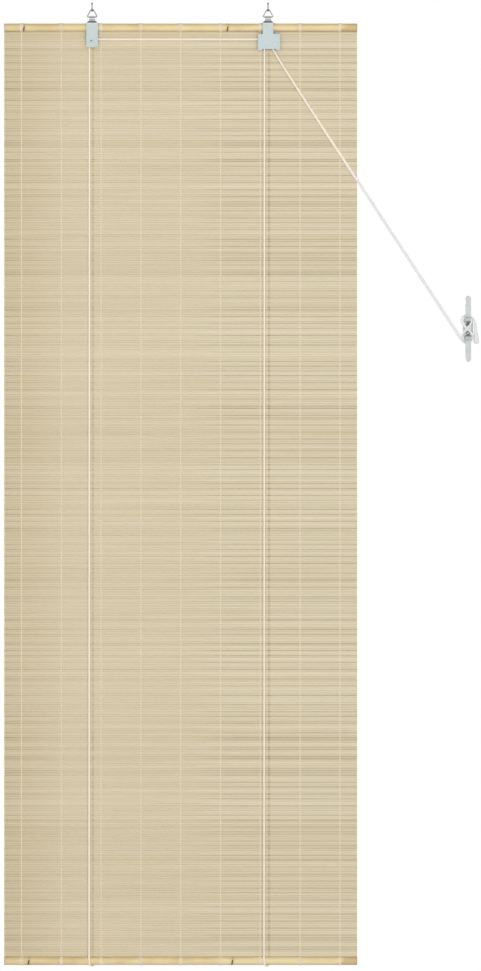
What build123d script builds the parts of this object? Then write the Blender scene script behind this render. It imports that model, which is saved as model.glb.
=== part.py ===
"""Bamboo roll-up blind on two wall hooks, with its cord lock, pull cords and wall cleat.

Sizes are in millimetres. X runs along the rails to the right, Y runs into the wall and Z is up.
The origin lies on the wall, midway between the axes of the two screw hooks.
"""

import math
import os

from build123d import *

# Whole blind: the drop runs from the top of the head rail to the foot of the bottom rail
blind_width = 600.0
blind_drop = 1600.0
hook_span = 299.0
blind_shift = 1.0
wall_standoff = 15.0
head_rail_hang = 29.2

# Clearances: a turning fit, a seat, and free air between pieces
running_gap = 0.05
seat_gap = 0.1
free_gap = 0.3
cut_overrun = 5.0

# Bamboo rails
rail_radius = 6.9
rail_span_radius = 6.6
rail_bore_radius = 3.0
rail_node_half_width = 5.0
rail_node_spacing = 346.0
head_rail_first_node = 34.0
bottom_rail_first_node = 42.0

# Woven mat: crowned slats with flat backs, with an open slit after every few slats
slat_pitch = 4.0
slat_thickness = 1.8
slat_crown_rise = 0.5
slats_per_slit = 4
slit_height = 0.7
mat_side_web = 12.0
crown_share = 0.5

# Warp threads, clear of the brackets and the mat's edges, and their lashings round the rails
warp_inset = 14.2
warp_edge_margin = 15.0
thread_width = 0.9
thread_thickness = 0.5
lashing_width = 3.6
lashing_thickness = 0.5
lashing_sides = 8

# Sheet metal of the brackets and rail clips
sheet = 0.8
sheet_bend_radius = 1.2
fold_depth = 2.6
plate_corner_radius = 2.0
eye_width = 10.4
neck_length = 5.8
shoulder_drop = 3.8
shoulder_width = 18.0
left_plate_width = 20.0
left_plate_bottom = 62.7
lock_stem_width = 18.3
lock_base_width = 38.9
lock_base_top = 40.4
lock_base_bottom = 67.8
lock_base_shift = 1.7
lock_notch_width = 22.8
lock_notch_depth = 1.7
clip_ear_width = 22.4
clip_ear_bottom = 41.5
clip_edge_margin = 0.8
clip_tab_length = 6.0
clip_tab_width = 13.0

# Cords and pulleys
cord_radius = 1.1
cord_sides = 6
pulley_width = 6.8
groove_pitch = 3.3
groove_side_margin = 0.15
cord_line_drop = 49.2
left_pulley_pitch_radius = 3.5
left_pulley_rim_radius = 5.2
left_pulley_hub_radius = 2.6
left_pulley_shift = -1.0
lock_pulley_pitch_radius = 6.5
lock_pulley_rim_radius = 7.6
lock_pulley_shift = 0.2
axle_radius = 1.3
rivet_head_rim = 1.1
rivet_head_thickness = 0.5
rivet_dimple_radius_share = 0.55
rivet_dimple_depth = 1.0

# Lock roller on its sliding pin
roller_radius = 3.2
roller_tooth_depth = 0.45
roller_teeth = 14
roller_drop = 58.5
roller_pin_radius = 1.0
roller_pin_head_radius = 2.3
roller_pin_head_thickness = 0.6
roller_travel = 2.5
roller_slot_angle = 72.5

# Wire of the rings and hooks: flats away from the hinge pins and the screws
wire_sides = 8
wire_flats_share = 0.97

# Triangular hanging rings
ring_wire_radius = 1.0
ring_base_drop = 11.4
ring_base_half_width = 9.3
ring_corner_radius = 2.2
ring_apex_radius = 2.5
ring_pin_length = 11.0

# Square-bend screw hooks
hook_wire_radius = 1.25
hook_reach = 20.2
hook_bend_radius = 3.0
hook_arm_height = 12.4
hook_screw_length = 22.0

# Lift cord ends and their knots behind the rail clips
front_cord_back_shift = 8.7
knot_radius = 2.6
knot_height = 5.0
knot_sides = 8

# Pull cords: where they leave the lock, and how they reach the cleat
lock_exit_drop = 62.5
lock_turn_drop = 66.5
pull_cord_stand = 14.8
pull_cord_stagger = 1.6
pull_cord_dive = 13.5
arc_run_share = 0.45

# Wall cleat
cleat_x = 489.6
cleat_z = -541.2
cleat_length = 112.0
cleat_bar_width = 9.5
cleat_base_width = 17.3
cleat_base_length = 41.0
cleat_base_thickness = 3.0
cleat_base_corner_radius = 8.0
cleat_floor_height = 4.5
cleat_floor_half_length = 11.0
cleat_front_height = 26.0
cleat_front_start = 20.0
cleat_post_half_length = 18.2
cleat_horn_gap = 17.5
cleat_tip_gap = 19.5
cleat_tip_front_drop = 1.0
cleat_root_radius = 2.6
cleat_tip_radius = 1.8
cleat_screw_pitch = 15.2
cleat_screw_radius = 1.7
cleat_screw_head_radius = 3.0
cleat_screw_head_thickness = 1.8
cleat_screw_depth = 22.0

# Cord wrapped on the cleat, and the tassel
wrap_loop_radius = 8.4
wrap_strand_width = 2.4
wrap_loop_pitch = 26.6
wrap_near_wall = 11.0
wrap_depth = 4.6
wrap_flats = 10
tassel_cord_start_angle = 45.0
tassel_x = 11.7
tassel_stand = 20.5
tassel_top = 9.8
tassel_length = 35.5
tassel_top_radius = 2.3
tassel_foot_radius = 4.6
tassel_neck_share = 0.2
tassel_foot_height = 2.5
tassel_sides = 12
tassel_foot_rim_share = 0.7
tassel_lean = 3.7

# Places worked out from the sizes above
hang_y = -wall_standoff
head_rail_z = -head_rail_hang
bottom_rail_z = head_rail_z + 2 * rail_radius - blind_drop
bracket_x = hook_span / 2
warp_pitch = (bracket_x - warp_inset) / 2
warps_each_side = int((blind_width / 2 - warp_edge_margin) / warp_pitch)
strap_inner_radius = rail_radius + seat_gap
mat_top_z = head_rail_z - strap_inner_radius - sheet - free_gap
lashing_radius = rail_radius + seat_gap + lashing_thickness
mat_bottom_z = bottom_rail_z + lashing_radius + seat_gap
mat_back_y = hang_y + slat_thickness / 2
mat_front_y = hang_y - slat_thickness / 2
thread_front_y = mat_front_y - thread_thickness
clip_rear_y = thread_front_y - free_gap
clip_front_y = clip_rear_y - sheet
plate_inner_y = clip_front_y - pulley_width - 2 * free_gap
plate_outer_y = plate_inner_y - sheet
box_middle_y = (clip_front_y + plate_inner_y) / 2
rear_groove_y = box_middle_y + groove_pitch / 2
front_groove_y = box_middle_y - groove_pitch / 2
ring_base_z = -ring_base_drop
neck_bottom_z = ring_base_z - neck_length
plate_top_z = neck_bottom_z - shoulder_drop
left_x = -bracket_x
left_axle_x = left_x + left_pulley_shift
left_axle_z = -cord_line_drop - left_pulley_pitch_radius
left_cord_x = left_axle_x - left_pulley_pitch_radius
lock_base_x = bracket_x + lock_base_shift
lock_axle_x = bracket_x + lock_pulley_shift
lock_axle_z = -cord_line_drop - lock_pulley_pitch_radius
lock_cord_x = lock_axle_x - lock_pulley_pitch_radius
lock_exit_x = lock_axle_x + lock_pulley_pitch_radius
roller_x = lock_exit_x + cord_radius + free_gap + roller_radius
roller_z = -roller_drop
near_offset = wrap_loop_radius + wrap_strand_width / 2 + cord_radius + seat_gap
far_offset = near_offset + 2 * cord_radius + seat_gap
slot_direction = Vector(math.cos(math.radians(roller_slot_angle)), math.sin(math.radians(roller_slot_angle)))


def save(node, *solids):
    """Write one node, as one solid or as a group of separate solids."""
    shape = solids[0] if len(solids) == 1 else Compound(children=list(solids))
    export_step(shape, os.path.join("parts", node + ".step"))


def bamboo_rail(axis_z, first_node):
    """A hollow cane whose skin swells into a ridge at each of its two nodes."""
    left_end = -blind_width / 2
    outline = [(left_end, rail_bore_radius), (left_end, rail_span_radius)]
    for node in (left_end + first_node, left_end + first_node + rail_node_spacing):
        outline.append((node - rail_node_half_width, rail_span_radius))
        outline.append((node, rail_radius))
        outline.append((node + rail_node_half_width, rail_span_radius))
    outline += [(-left_end, rail_span_radius), (-left_end, rail_bore_radius)]
    cane = revolve(make_face(Polyline(*outline, close=True)), Axis.X)
    return Pos(blind_shift, hang_y, axis_z) * cane


def slat_mat():
    """One woven wall: a row of crowned slats, with open slits between groups of them."""
    height = mat_top_z - mat_bottom_z
    slats = round(height / slat_pitch)
    pitch = height / slats
    groove_y = mat_front_y + slat_crown_rise
    outline = [(mat_back_y, mat_top_z), (groove_y, mat_top_z)]
    for slat in range(slats):
        outline.append((mat_front_y, mat_top_z - (slat + crown_share) * pitch))
        outline.append((groove_y, mat_top_z - (slat + 1) * pitch))
    outline.append((mat_back_y, mat_bottom_z))
    section = Plane.YZ * make_face(Polyline(*outline, close=True))
    wall = extrude(section, amount=blind_width / 2, both=True)
    slit = Box(blind_width - 2 * mat_side_web, slat_thickness + cut_overrun, slit_height)
    grooves = range(slats_per_slit, slats, slats_per_slit)
    slits = [Pos(0, hang_y, mat_top_z - groove * pitch) * slit for groove in grooves]
    return Pos(blind_shift, 0, 0) * (wall - slits)


def warp_places():
    """The X of each warp column."""
    return [blind_shift + i * warp_pitch for i in range(-warps_each_side, warps_each_side + 1)]


def warp_threads(inner_y, outer_y):
    """The threads on one face of the mat, from lashing to lashing."""
    reach = lashing_radius + seat_gap
    top = head_rail_z - reach
    bottom = bottom_rail_z + reach
    thread = Box(thread_width, abs(outer_y - inner_y), top - bottom)
    return [Pos(x, (inner_y + outer_y) / 2, (top + bottom) / 2) * thread for x in warp_places()]


def lashings(axis_z):
    """Bands of thread bound round a rail at each warp, drawn as flats."""
    flat_up = 180 / lashing_sides
    inner = RegularPolygon(rail_radius + seat_gap, lashing_sides, major_radius=False, rotation=flat_up)
    outer = RegularPolygon(lashing_radius, lashing_sides, major_radius=False, rotation=flat_up)
    band = extrude(Plane.YZ * (outer - inner), amount=lashing_width / 2, both=True)
    return [Pos(x, hang_y, axis_z) * band for x in warp_places()]


def sheet_strip(plane, path, length):
    """Sheet metal bent along a path in the given plane, as wide as the length, about that plane."""
    return extrude(plane * trace(path, sheet), amount=length / 2, both=True)


def front_prism(outline, corners=0):
    """A prism along Y with a front outline; its last points, as many as corners, are rounded."""
    face = make_face(Polyline(*outline, close=True))
    if corners:
        lowest = face.vertices().sort_by(Axis.Y)[:corners]
        face = fillet(lowest, plate_corner_radius)
    return extrude(Plane.XZ * face, amount=blind_width, both=True)


def hanger(x, plate_bottom):
    """The rolled eye round the ring, the neck, the shoulder and a plate as wide as the blind's box."""
    eye_radius = ring_wire_radius + running_gap
    neck_y = hang_y - eye_radius - sheet / 2
    plate_y = plate_outer_y + sheet / 2
    bends = [(neck_y, ring_base_z), (neck_y, neck_bottom_z), (plate_y, plate_top_z), (plate_y, -plate_bottom)]
    strip = sheet_strip(Plane.YZ, FilletPolyline(*bends, radius=sheet_bend_radius), lock_base_width)
    ring_base = Pos(0, hang_y, ring_base_z) * Rot(Y=90)
    eye = ring_base * Cylinder(eye_radius + sheet, eye_width)
    bore = ring_base * Cylinder(eye_radius, 2 * lock_base_width)
    return Pos(x, 0, 0) * (strip + eye - bore)


def folded_plate(x, width, top, bottom):
    """A flat plate with its two sides folded back."""
    side = width / 2 - sheet / 2
    plate_y = plate_outer_y + sheet / 2
    fold_y = plate_outer_y + fold_depth
    bends = [(-side, fold_y), (-side, plate_y), (side, plate_y), (side, fold_y)]
    path = FilletPolyline(*bends, radius=sheet_bend_radius)
    plate = extrude(trace(path, sheet), amount=bottom - top)
    return Pos(x, 0, -bottom) * plate


def head_outline():
    """The right half of a bracket's front outline down to its shoulder."""
    eye_top = ring_base_z + ring_wire_radius + running_gap + 2 * sheet
    return [(eye_width / 2, eye_top), (eye_width / 2, neck_bottom_z), (shoulder_width / 2, plate_top_z)]


def mirrored(half):
    """A closed outline from its right half, listed from the top down."""
    return half + [(-x, z) for x, z in reversed(half)]


def axle_hole(x, z):
    """A cut through both plates for an axle rivet."""
    return Pos(x, box_middle_y, z) * Rot(X=90) * Cylinder(axle_radius + running_gap, wall_standoff)


def left_bracket():
    """The narrow bracket over the left pulley."""
    half = head_outline()
    half.append((left_plate_width / 2, plate_top_z - sheet))
    half.append((left_plate_width / 2, -left_plate_bottom))
    outline = front_prism(mirrored(half), corners=2)
    plate = folded_plate(left_x, left_plate_width, -plate_top_z + sheet_bend_radius, left_plate_bottom)
    body = (hanger(left_x, left_plate_bottom) + plate) & Pos(left_x, 0, 0) * outline
    return body - axle_hole(left_axle_x, left_axle_z)


def roller_slot(gap):
    """The slanted slot, through both plates of the lock box, in which the roller pin slides."""
    slot = SlotCenterToCenter(roller_travel, 2 * (roller_pin_radius + gap), rotation=roller_slot_angle)
    middle = slot_direction * (roller_travel / 2)
    place = Pos(roller_x + middle.X, roller_z + middle.Y)
    return Pos(0, box_middle_y, 0) * extrude(Plane.XZ * (place * slot), amount=wall_standoff / 2, both=True)


def lock_bracket():
    """The T-shaped bracket over the cord lock, notched where the cords come out."""
    base_right = lock_base_x - bracket_x + lock_base_width / 2
    base_left = lock_base_x - bracket_x - lock_base_width / 2
    half = head_outline()
    half.append((lock_stem_width / 2, plate_top_z - sheet))
    half.append((lock_stem_width / 2, -lock_base_bottom))
    stem = front_prism(mirrored(half))
    base = front_prism(
        [
            (base_right, -lock_base_top),
            (base_right, -lock_base_bottom),
            (base_left, -lock_base_bottom),
            (base_left, -lock_base_top),
        ],
        corners=2,
    )
    stem_top = -plate_top_z + sheet_bend_radius
    stem_plate = folded_plate(bracket_x, lock_stem_width, stem_top, lock_base_top + sheet)
    base_plate = folded_plate(lock_base_x, lock_base_width, lock_base_top, lock_base_bottom)
    upper = (hanger(bracket_x, lock_base_top + sheet) + stem_plate) & Pos(bracket_x, 0, 0) * stem
    lower = base_plate & Pos(bracket_x, 0, 0) * base
    notch = Box(lock_notch_width, wall_standoff, 2 * lock_notch_depth)
    cuts = [
        Pos(lock_base_x, plate_outer_y, -lock_base_bottom) * notch,
        axle_hole(lock_axle_x, lock_axle_z),
        roller_slot(seat_gap),
    ]
    return upper + lower - cuts


def clip_strip(bottom):
    """A tab on the front plate, a strap over and behind the rail, then the box's back plate."""
    middle = strap_inner_radius + sheet / 2
    top_z = head_rail_z + middle
    low_z = head_rail_z - middle
    back_y = (clip_rear_y + clip_front_y) / 2
    tab_y = plate_inner_y + sheet / 2
    tab = [(tab_y, top_z - clip_tab_length), (tab_y, top_z), (hang_y, top_z)]
    over = FilletPolyline(*tab, radius=sheet_bend_radius)
    round_rail = CenterArc((hang_y, head_rail_z), middle, 90, -180)
    down = FilletPolyline((hang_y, low_z), (back_y, low_z), (back_y, -bottom), radius=sheet_bend_radius)
    strap = sheet_strip(Plane.YZ, over, clip_tab_width) + sheet_strip(Plane.YZ, round_rail, clip_ear_width)
    return strap + sheet_strip(Plane.YZ, down, 2 * lock_base_width)


def rail_clip(x, plate_x, plate_width, bottom):
    """A strap with narrow ears at the rail and a back plate below them."""
    strip = Pos(x, 0, 0) * clip_strip(bottom)
    plate_height = bottom - clip_ear_bottom
    plate = Box(plate_width, 2 * wall_standoff, plate_height)
    plate = Pos(plate_x, hang_y, -clip_ear_bottom - plate_height / 2) * plate
    ears = Pos(x, hang_y, -clip_ear_bottom / 2) * Box(clip_ear_width, 2 * wall_standoff, clip_ear_bottom)
    return strip & (ears + plate)


def left_rail_clip():
    """The clip behind the left bracket."""
    width = left_plate_width - 2 * clip_edge_margin
    clip = rail_clip(left_x, left_x, width, left_plate_bottom - clip_edge_margin)
    return clip - axle_hole(left_axle_x, left_axle_z)


def lock_rail_clip():
    """The clip behind the lock bracket, slotted for the roller pin."""
    width = lock_base_width - 2 * clip_edge_margin
    clip = rail_clip(bracket_x, lock_base_x, width, lock_base_bottom - clip_edge_margin)
    return clip - [axle_hole(lock_axle_x, lock_axle_z), roller_slot(seat_gap)]


def turned(x, z, outline):
    """A solid turned about an axis along Y, from an outline of (radius, Y) points."""
    return Pos(x, 0, z) * revolve(make_face(Polyline(*outline, close=True)), Axis.Y)


def axle_rivet(x, z):
    """A semi-tubular rivet through both plates: flat heads and a dimple in front."""
    head = axle_radius + rivet_head_rim
    front = plate_outer_y - rivet_head_thickness
    rear = clip_rear_y + rivet_head_thickness
    dimple = axle_radius * rivet_dimple_radius_share
    floor = front + rivet_dimple_depth
    outline = [(0, floor), (dimple, floor), (dimple, front), (head, front), (head, plate_outer_y)]
    outline += [(axle_radius, plate_outer_y), (axle_radius, clip_rear_y)]
    outline += [(head, clip_rear_y), (head, rear), (0, rear)]
    return turned(x, z, outline)


def groove(middle_y, rim, root):
    """The outline points of one cord groove, from its rear lip to its front lip."""
    side = cord_radius + groove_side_margin
    return [(rim, middle_y + side), (root, middle_y + side), (root, middle_y - side), (rim, middle_y - side)]


def left_pulley():
    """A single-groove pulley with a long hub that keeps its groove at the back of the box."""
    bore = axle_radius + running_gap
    root = left_pulley_pitch_radius - cord_radius - free_gap
    rim = left_pulley_rim_radius
    rear = clip_front_y - free_gap
    front = plate_inner_y + free_gap
    outline = [(bore, rear), (rim, rear)] + groove(rear_groove_y, rim, root)
    outline += [(rim, box_middle_y - free_gap), (left_pulley_hub_radius, box_middle_y - free_gap)]
    outline += [(left_pulley_hub_radius, front), (bore, front)]
    return turned(left_axle_x, left_axle_z, outline)


def lock_pulley():
    """A two-groove pulley: the left cord runs in its rear groove, the right cord in its front one."""
    bore = axle_radius + running_gap
    root = lock_pulley_pitch_radius - cord_radius - free_gap
    rim = lock_pulley_rim_radius
    rear = clip_front_y - free_gap
    front = plate_inner_y + free_gap
    outline = [(bore, rear), (rim, rear)] + groove(rear_groove_y, rim, root)
    outline += groove(front_groove_y, rim, root) + [(rim, front), (bore, front)]
    return turned(lock_axle_x, lock_axle_z, outline)


def lock_roller():
    """A toothed roller that bites the cords against the lock pulley."""
    tips = []
    for step in range(2 * roller_teeth):
        angle = math.pi * step / roller_teeth
        radius = roller_radius - (step % 2) * roller_tooth_depth
        tips.append((radius * math.cos(angle), radius * math.sin(angle)))
    section = make_face(Polyline(*tips, close=True)) - Circle(roller_pin_radius + running_gap)
    length = pulley_width / 2
    return Pos(roller_x, box_middle_y, roller_z) * extrude(Plane.XZ * section, amount=length, both=True)


def lock_roller_pin():
    """The roller's pin, with a flat head in front of the lock bracket."""
    head_rear = plate_outer_y - seat_gap
    head_front = head_rear - roller_pin_head_thickness
    rear = clip_rear_y + seat_gap
    outline = [(0, head_front), (roller_pin_head_radius, head_front), (roller_pin_head_radius, head_rear)]
    outline += [(roller_pin_radius, head_rear), (roller_pin_radius, rear), (0, rear)]
    return turned(roller_x, roller_z, outline)


def wire_sweep(path, radius):
    """Wire along a path, drawn with flats."""
    section = RegularPolygon(radius * wire_flats_share, wire_sides, rotation=180 / wire_sides)
    return sweep(Plane(path @ 0, z_dir=path % 0) * section, path=path)


def hanging_ring(x):
    """A closed triangle of wire: its apex rides on the hook and its base is the bracket's hinge pin."""
    apex_top = hook_wire_radius + seat_gap + ring_wire_radius
    rise = apex_top - ring_base_z
    half_angle = math.atan2(ring_base_half_width, rise + ring_apex_radius)
    apex = apex_top + ring_apex_radius * (1 / math.sin(half_angle) - 1)
    pin_end = ring_pin_length / 2
    right = [(pin_end, ring_base_z), (ring_base_half_width, ring_base_z)]
    left = [(-ring_base_half_width, ring_base_z), (-pin_end, ring_base_z)]
    radii = [ring_corner_radius, ring_apex_radius, ring_corner_radius]
    path = Plane.XZ * FilletPolyline(*right, (0, apex), *left, radius=radii)
    pin = Pos(0, 0, ring_base_z) * Rot(Y=90) * Cylinder(ring_wire_radius, ring_pin_length)
    return Pos(x, hang_y, 0) * (wire_sweep(path, ring_wire_radius) + pin)


def screw_hook(x):
    """A square-bend hook: screw in the wall, straight shank and upright arm."""
    corners = [(0, 0, 0), (0, -hook_reach, 0), (0, -hook_reach, hook_arm_height)]
    path = FilletPolyline(*corners, radius=hook_bend_radius)
    arm = wire_sweep(path, hook_wire_radius)
    screw = Pos(0, hook_screw_length / 2, 0) * Rot(X=90) * Cylinder(hook_wire_radius, hook_screw_length)
    return Pos(x, 0, 0) * (arm + screw)


def cord(points, radii):
    """A cord's tube along straight runs and tangent arcs, with a check of its volume."""
    path = FilletPolyline(*points, radius=radii)
    section = Plane(path @ 0, z_dir=path % 0) * RegularPolygon(cord_radius, cord_sides)
    tube = sweep(section, path=path)
    length = path.length
    share = tube.volume / (section.area * length)
    bends = [round(radius, 2) for radius in radii]
    print("cord length", round(length, 1), "radii", bends, "volume share", round(share, 4))
    return tube


def lift_cord_tail(front_x):
    """The points of a lift cord from its knot, down the back and under the bottom rail."""
    turn = rail_radius + seat_gap + cord_radius
    back_x = front_x + front_cord_back_shift
    low_z = bottom_rail_z - turn
    knot_foot = head_rail_z - knot_height / 2
    return [(back_x, knot_y(), knot_foot), (back_x, hang_y + turn, low_z), (front_x, hang_y - turn, low_z)]


def knot_y():
    """The knots lie against the back of the rail clips."""
    return hang_y + strap_inner_radius + sheet + seat_gap + knot_radius


def cord_knot(front_x):
    """The stopper knot at a lift cord's back end, drawn with flats."""
    knot = extrude(RegularPolygon(knot_radius, knot_sides), amount=knot_height / 2, both=True)
    return Pos(front_x + front_cord_back_shift, knot_y(), head_rail_z) * knot


def left_lift_cord():
    """Knot, back, bottom rail, front, left pulley, then across into the lock."""
    turn = rail_radius + seat_gap + cord_radius
    line_z = -cord_line_drop
    route = lift_cord_tail(left_cord_x)
    route += [(left_cord_x, rear_groove_y, line_z), (lock_exit_x, rear_groove_y, line_z)]
    route.append((lock_exit_x, rear_groove_y, -lock_exit_drop))
    return cord(route, [turn, turn, left_pulley_pitch_radius, lock_pulley_pitch_radius])


def right_lift_cord():
    """Knot, back, bottom rail, front, then over the lock pulley."""
    turn = rail_radius + seat_gap + cord_radius
    line_z = -cord_line_drop
    bend = lock_pulley_pitch_radius - running_gap
    route = lift_cord_tail(lock_cord_x)
    route += [(lock_cord_x, front_groove_y, line_z), (lock_exit_x, front_groove_y, line_z)]
    route.append((lock_exit_x, front_groove_y, -lock_exit_drop))
    return cord(route, [turn, turn, bend, bend])


def pull_cord(groove_y, offset, stand):
    """A taut run from the lock to the cleat, then under its lower horn, offset from that loop's middle."""
    loop_z = cleat_z - wrap_loop_pitch / 2
    start = Vector(lock_exit_x, groove_y, -lock_exit_drop)
    turn = Vector(lock_exit_x, groove_y, -lock_turn_drop)
    across = cleat_x - lock_exit_x
    down = -lock_turn_drop - loop_z
    slope = math.atan2(down, across) + math.asin(offset / math.hypot(across, down))
    reach = Vector(cleat_x - offset * math.tan(slope / 2), -stand, loop_z - offset)
    under = Vector(cleat_x, -pull_cord_dive, loop_z - offset)
    route = [start, turn, reach, under]
    return cord([tuple(point) for point in route], [arc_radius(route, 1), arc_radius(route, 2)])


def arc_radius(route, corner):
    """The largest arc that a corner's shorter run leaves room for."""
    before = route[corner] - route[corner - 1]
    after = route[corner + 1] - route[corner]
    half_turn = math.radians(before.get_angle(after) / 2)
    return arc_run_share * min(before.length, after.length) / math.tan(half_turn)


def cleat_profile():
    """The cleat's side outline: flat foot, valley floor, and a horn each way."""
    tip = cleat_length / 2
    half = [
        (-cleat_floor_height, cleat_floor_half_length),
        (-cleat_front_height, cleat_front_start),
        (-cleat_front_height + cleat_tip_front_drop, tip),
        (-cleat_tip_gap, tip),
        (-cleat_horn_gap, cleat_post_half_length),
        (0, cleat_post_half_length),
    ]
    return half + [(y, -z) for y, z in reversed(half)]


def cleat():
    """A cast cleat: rounded base plate, two posts and two blunt horns."""
    profile = make_face(Polyline(*cleat_profile(), close=True))
    roots = [v for v in profile.vertices() if abs(v.X + cleat_horn_gap) < running_gap]
    profile = fillet(roots, cleat_root_radius)
    tips = [v for v in profile.vertices() if abs(abs(v.Y) - cleat_length / 2) < running_gap]
    profile = fillet(tips, cleat_tip_radius)
    bar = extrude(Plane.YZ * profile, amount=cleat_bar_width / 2, both=True)
    plan = SlotOverall(cleat_length, cleat_bar_width, rotation=90)
    bar = bar & extrude(Plane.XZ * plan, amount=2 * cleat_front_height, both=True)
    foot = RectangleRounded(cleat_base_width, cleat_base_length, cleat_base_corner_radius)
    base = extrude(Plane.XZ * foot, amount=cleat_base_thickness)
    hole = Rot(X=90) * Cylinder(cleat_screw_radius + seat_gap, 2 * cleat_front_height)
    holes = [Pos(0, 0, side * cleat_screw_pitch / 2) * hole for side in (1, -1)]
    return Pos(cleat_x, 0, cleat_z) * (bar + base - holes)


def cleat_screws():
    """Two pan-head screws through the cleat's floor into the wall."""
    seat = -cleat_floor_height
    top = seat - cleat_screw_head_thickness
    outline = [(0, top), (cleat_screw_head_radius, top), (cleat_screw_head_radius, seat)]
    outline += [(cleat_screw_radius, seat), (cleat_screw_radius, cleat_screw_depth), (0, cleat_screw_depth)]
    return [turned(cleat_x, cleat_z + side * cleat_screw_pitch / 2, outline) for side in (1, -1)]


def cleat_cord_wrap():
    """The figure of eight wound on the cleat, as one solid of its outer shape, drawn with flats."""
    rise = wrap_loop_pitch / 2
    lean = math.asin(wrap_loop_radius / rise)
    step = (math.pi + 2 * lean) / wrap_flats
    angles = [step * i - lean for i in range(wrap_flats + 1)]
    upper = [(wrap_loop_radius * math.cos(a), rise + wrap_loop_radius * math.sin(a)) for a in angles]
    lower = [(x, -z) for x, z in upper]
    crossing = [Line(upper[0], lower[-1]), Line(upper[-1], lower[0])]
    strokes = [trace(line, wrap_strand_width) for line in (Polyline(*upper), Polyline(*lower), *crossing)]
    solid = extrude(Plane.XZ * (strokes[0] + strokes[1:]), amount=wrap_depth)
    return Pos(cleat_x, -wrap_near_wall, cleat_z) * solid


def cord_tassel():
    """A slim bell-shaped cord pull with a narrow neck and an eased foot, drawn with flats."""
    neck = tassel_length * tassel_neck_share
    rim = tassel_foot_radius * tassel_foot_rim_share
    foot = tassel_length - tassel_foot_height
    levels = [(tassel_top_radius, 0), (tassel_top_radius, neck)]
    levels += [(tassel_foot_radius, foot), (rim, tassel_length)]
    sections = [Pos(0, 0, -drop) * RegularPolygon(radius, tassel_sides) for radius, drop in levels]
    bell = loft(sections, ruled=True)
    return Pos(cleat_x + tassel_x, -tassel_stand, cleat_z + tassel_top) * Rot(Y=-tassel_lean) * bell


def tassel_cord():
    """The cords' end, from the upper loop of the wrap forward to the tassel's top."""
    strand_y = -wrap_near_wall - wrap_depth - cord_radius - seat_gap
    angle = math.radians(tassel_cord_start_angle)
    side_x = cleat_x + wrap_loop_radius * math.cos(angle)
    side = Vector(side_x, strand_y, cleat_z + wrap_loop_pitch / 2 + wrap_loop_radius * math.sin(angle))
    top = Vector(cleat_x + tassel_x, -tassel_stand, cleat_z + tassel_top + seat_gap)
    route = [side, Vector(top.X, top.Y, side.Z), top]
    return cord([tuple(point) for point in route], [arc_radius(route, 1)])


os.makedirs("parts", exist_ok=True)

save("head_rail", bamboo_rail(head_rail_z, head_rail_first_node))
save("bottom_rail", bamboo_rail(bottom_rail_z, bottom_rail_first_node))
save("slat_mat", slat_mat())
save("warp_threads_front", *warp_threads(mat_front_y, thread_front_y))
save("warp_threads_back", *warp_threads(mat_back_y, mat_back_y + thread_thickness))
save("head_rail_lashings", *lashings(head_rail_z))
save("bottom_rail_lashings", *lashings(bottom_rail_z))
save("left_bracket", left_bracket())
save("left_rail_clip", left_rail_clip())
save("left_pulley", left_pulley())
save("lock_bracket", lock_bracket())
save("lock_rail_clip", lock_rail_clip())
save("lock_pulley", lock_pulley())
save("axle_rivets", axle_rivet(left_axle_x, left_axle_z), axle_rivet(lock_axle_x, lock_axle_z))
save("lock_roller", lock_roller())
save("lock_roller_pin", lock_roller_pin())
save("hanging_rings", *[hanging_ring(x) for x in (left_x, bracket_x)])
save("screw_hooks", *[screw_hook(x) for x in (left_x, bracket_x)])
save("left_lift_cord", left_lift_cord())
save("right_lift_cord", right_lift_cord())
save("cord_knots", *[cord_knot(x) for x in (left_cord_x, lock_cord_x)])
save("left_pull_cord", pull_cord(rear_groove_y, near_offset, pull_cord_stand))
save("right_pull_cord", pull_cord(front_groove_y, far_offset, pull_cord_stand + pull_cord_stagger))
save("cleat", cleat())
save("cleat_screws", *cleat_screws())
save("cleat_cord_wrap", cleat_cord_wrap())
save("tassel_cord", tassel_cord())
save("cord_tassel", cord_tassel())
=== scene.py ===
"""Bamboo roll up blind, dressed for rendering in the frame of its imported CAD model.

Lengths are in metres. X runs along the rails to the right, Y runs into the wall and Z is up. The origin
lies on the wall, midway between the two screw hooks.
"""

import logging
import math
from dataclasses import dataclass, field
from enum import Enum
from typing import Any, Sequence

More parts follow.
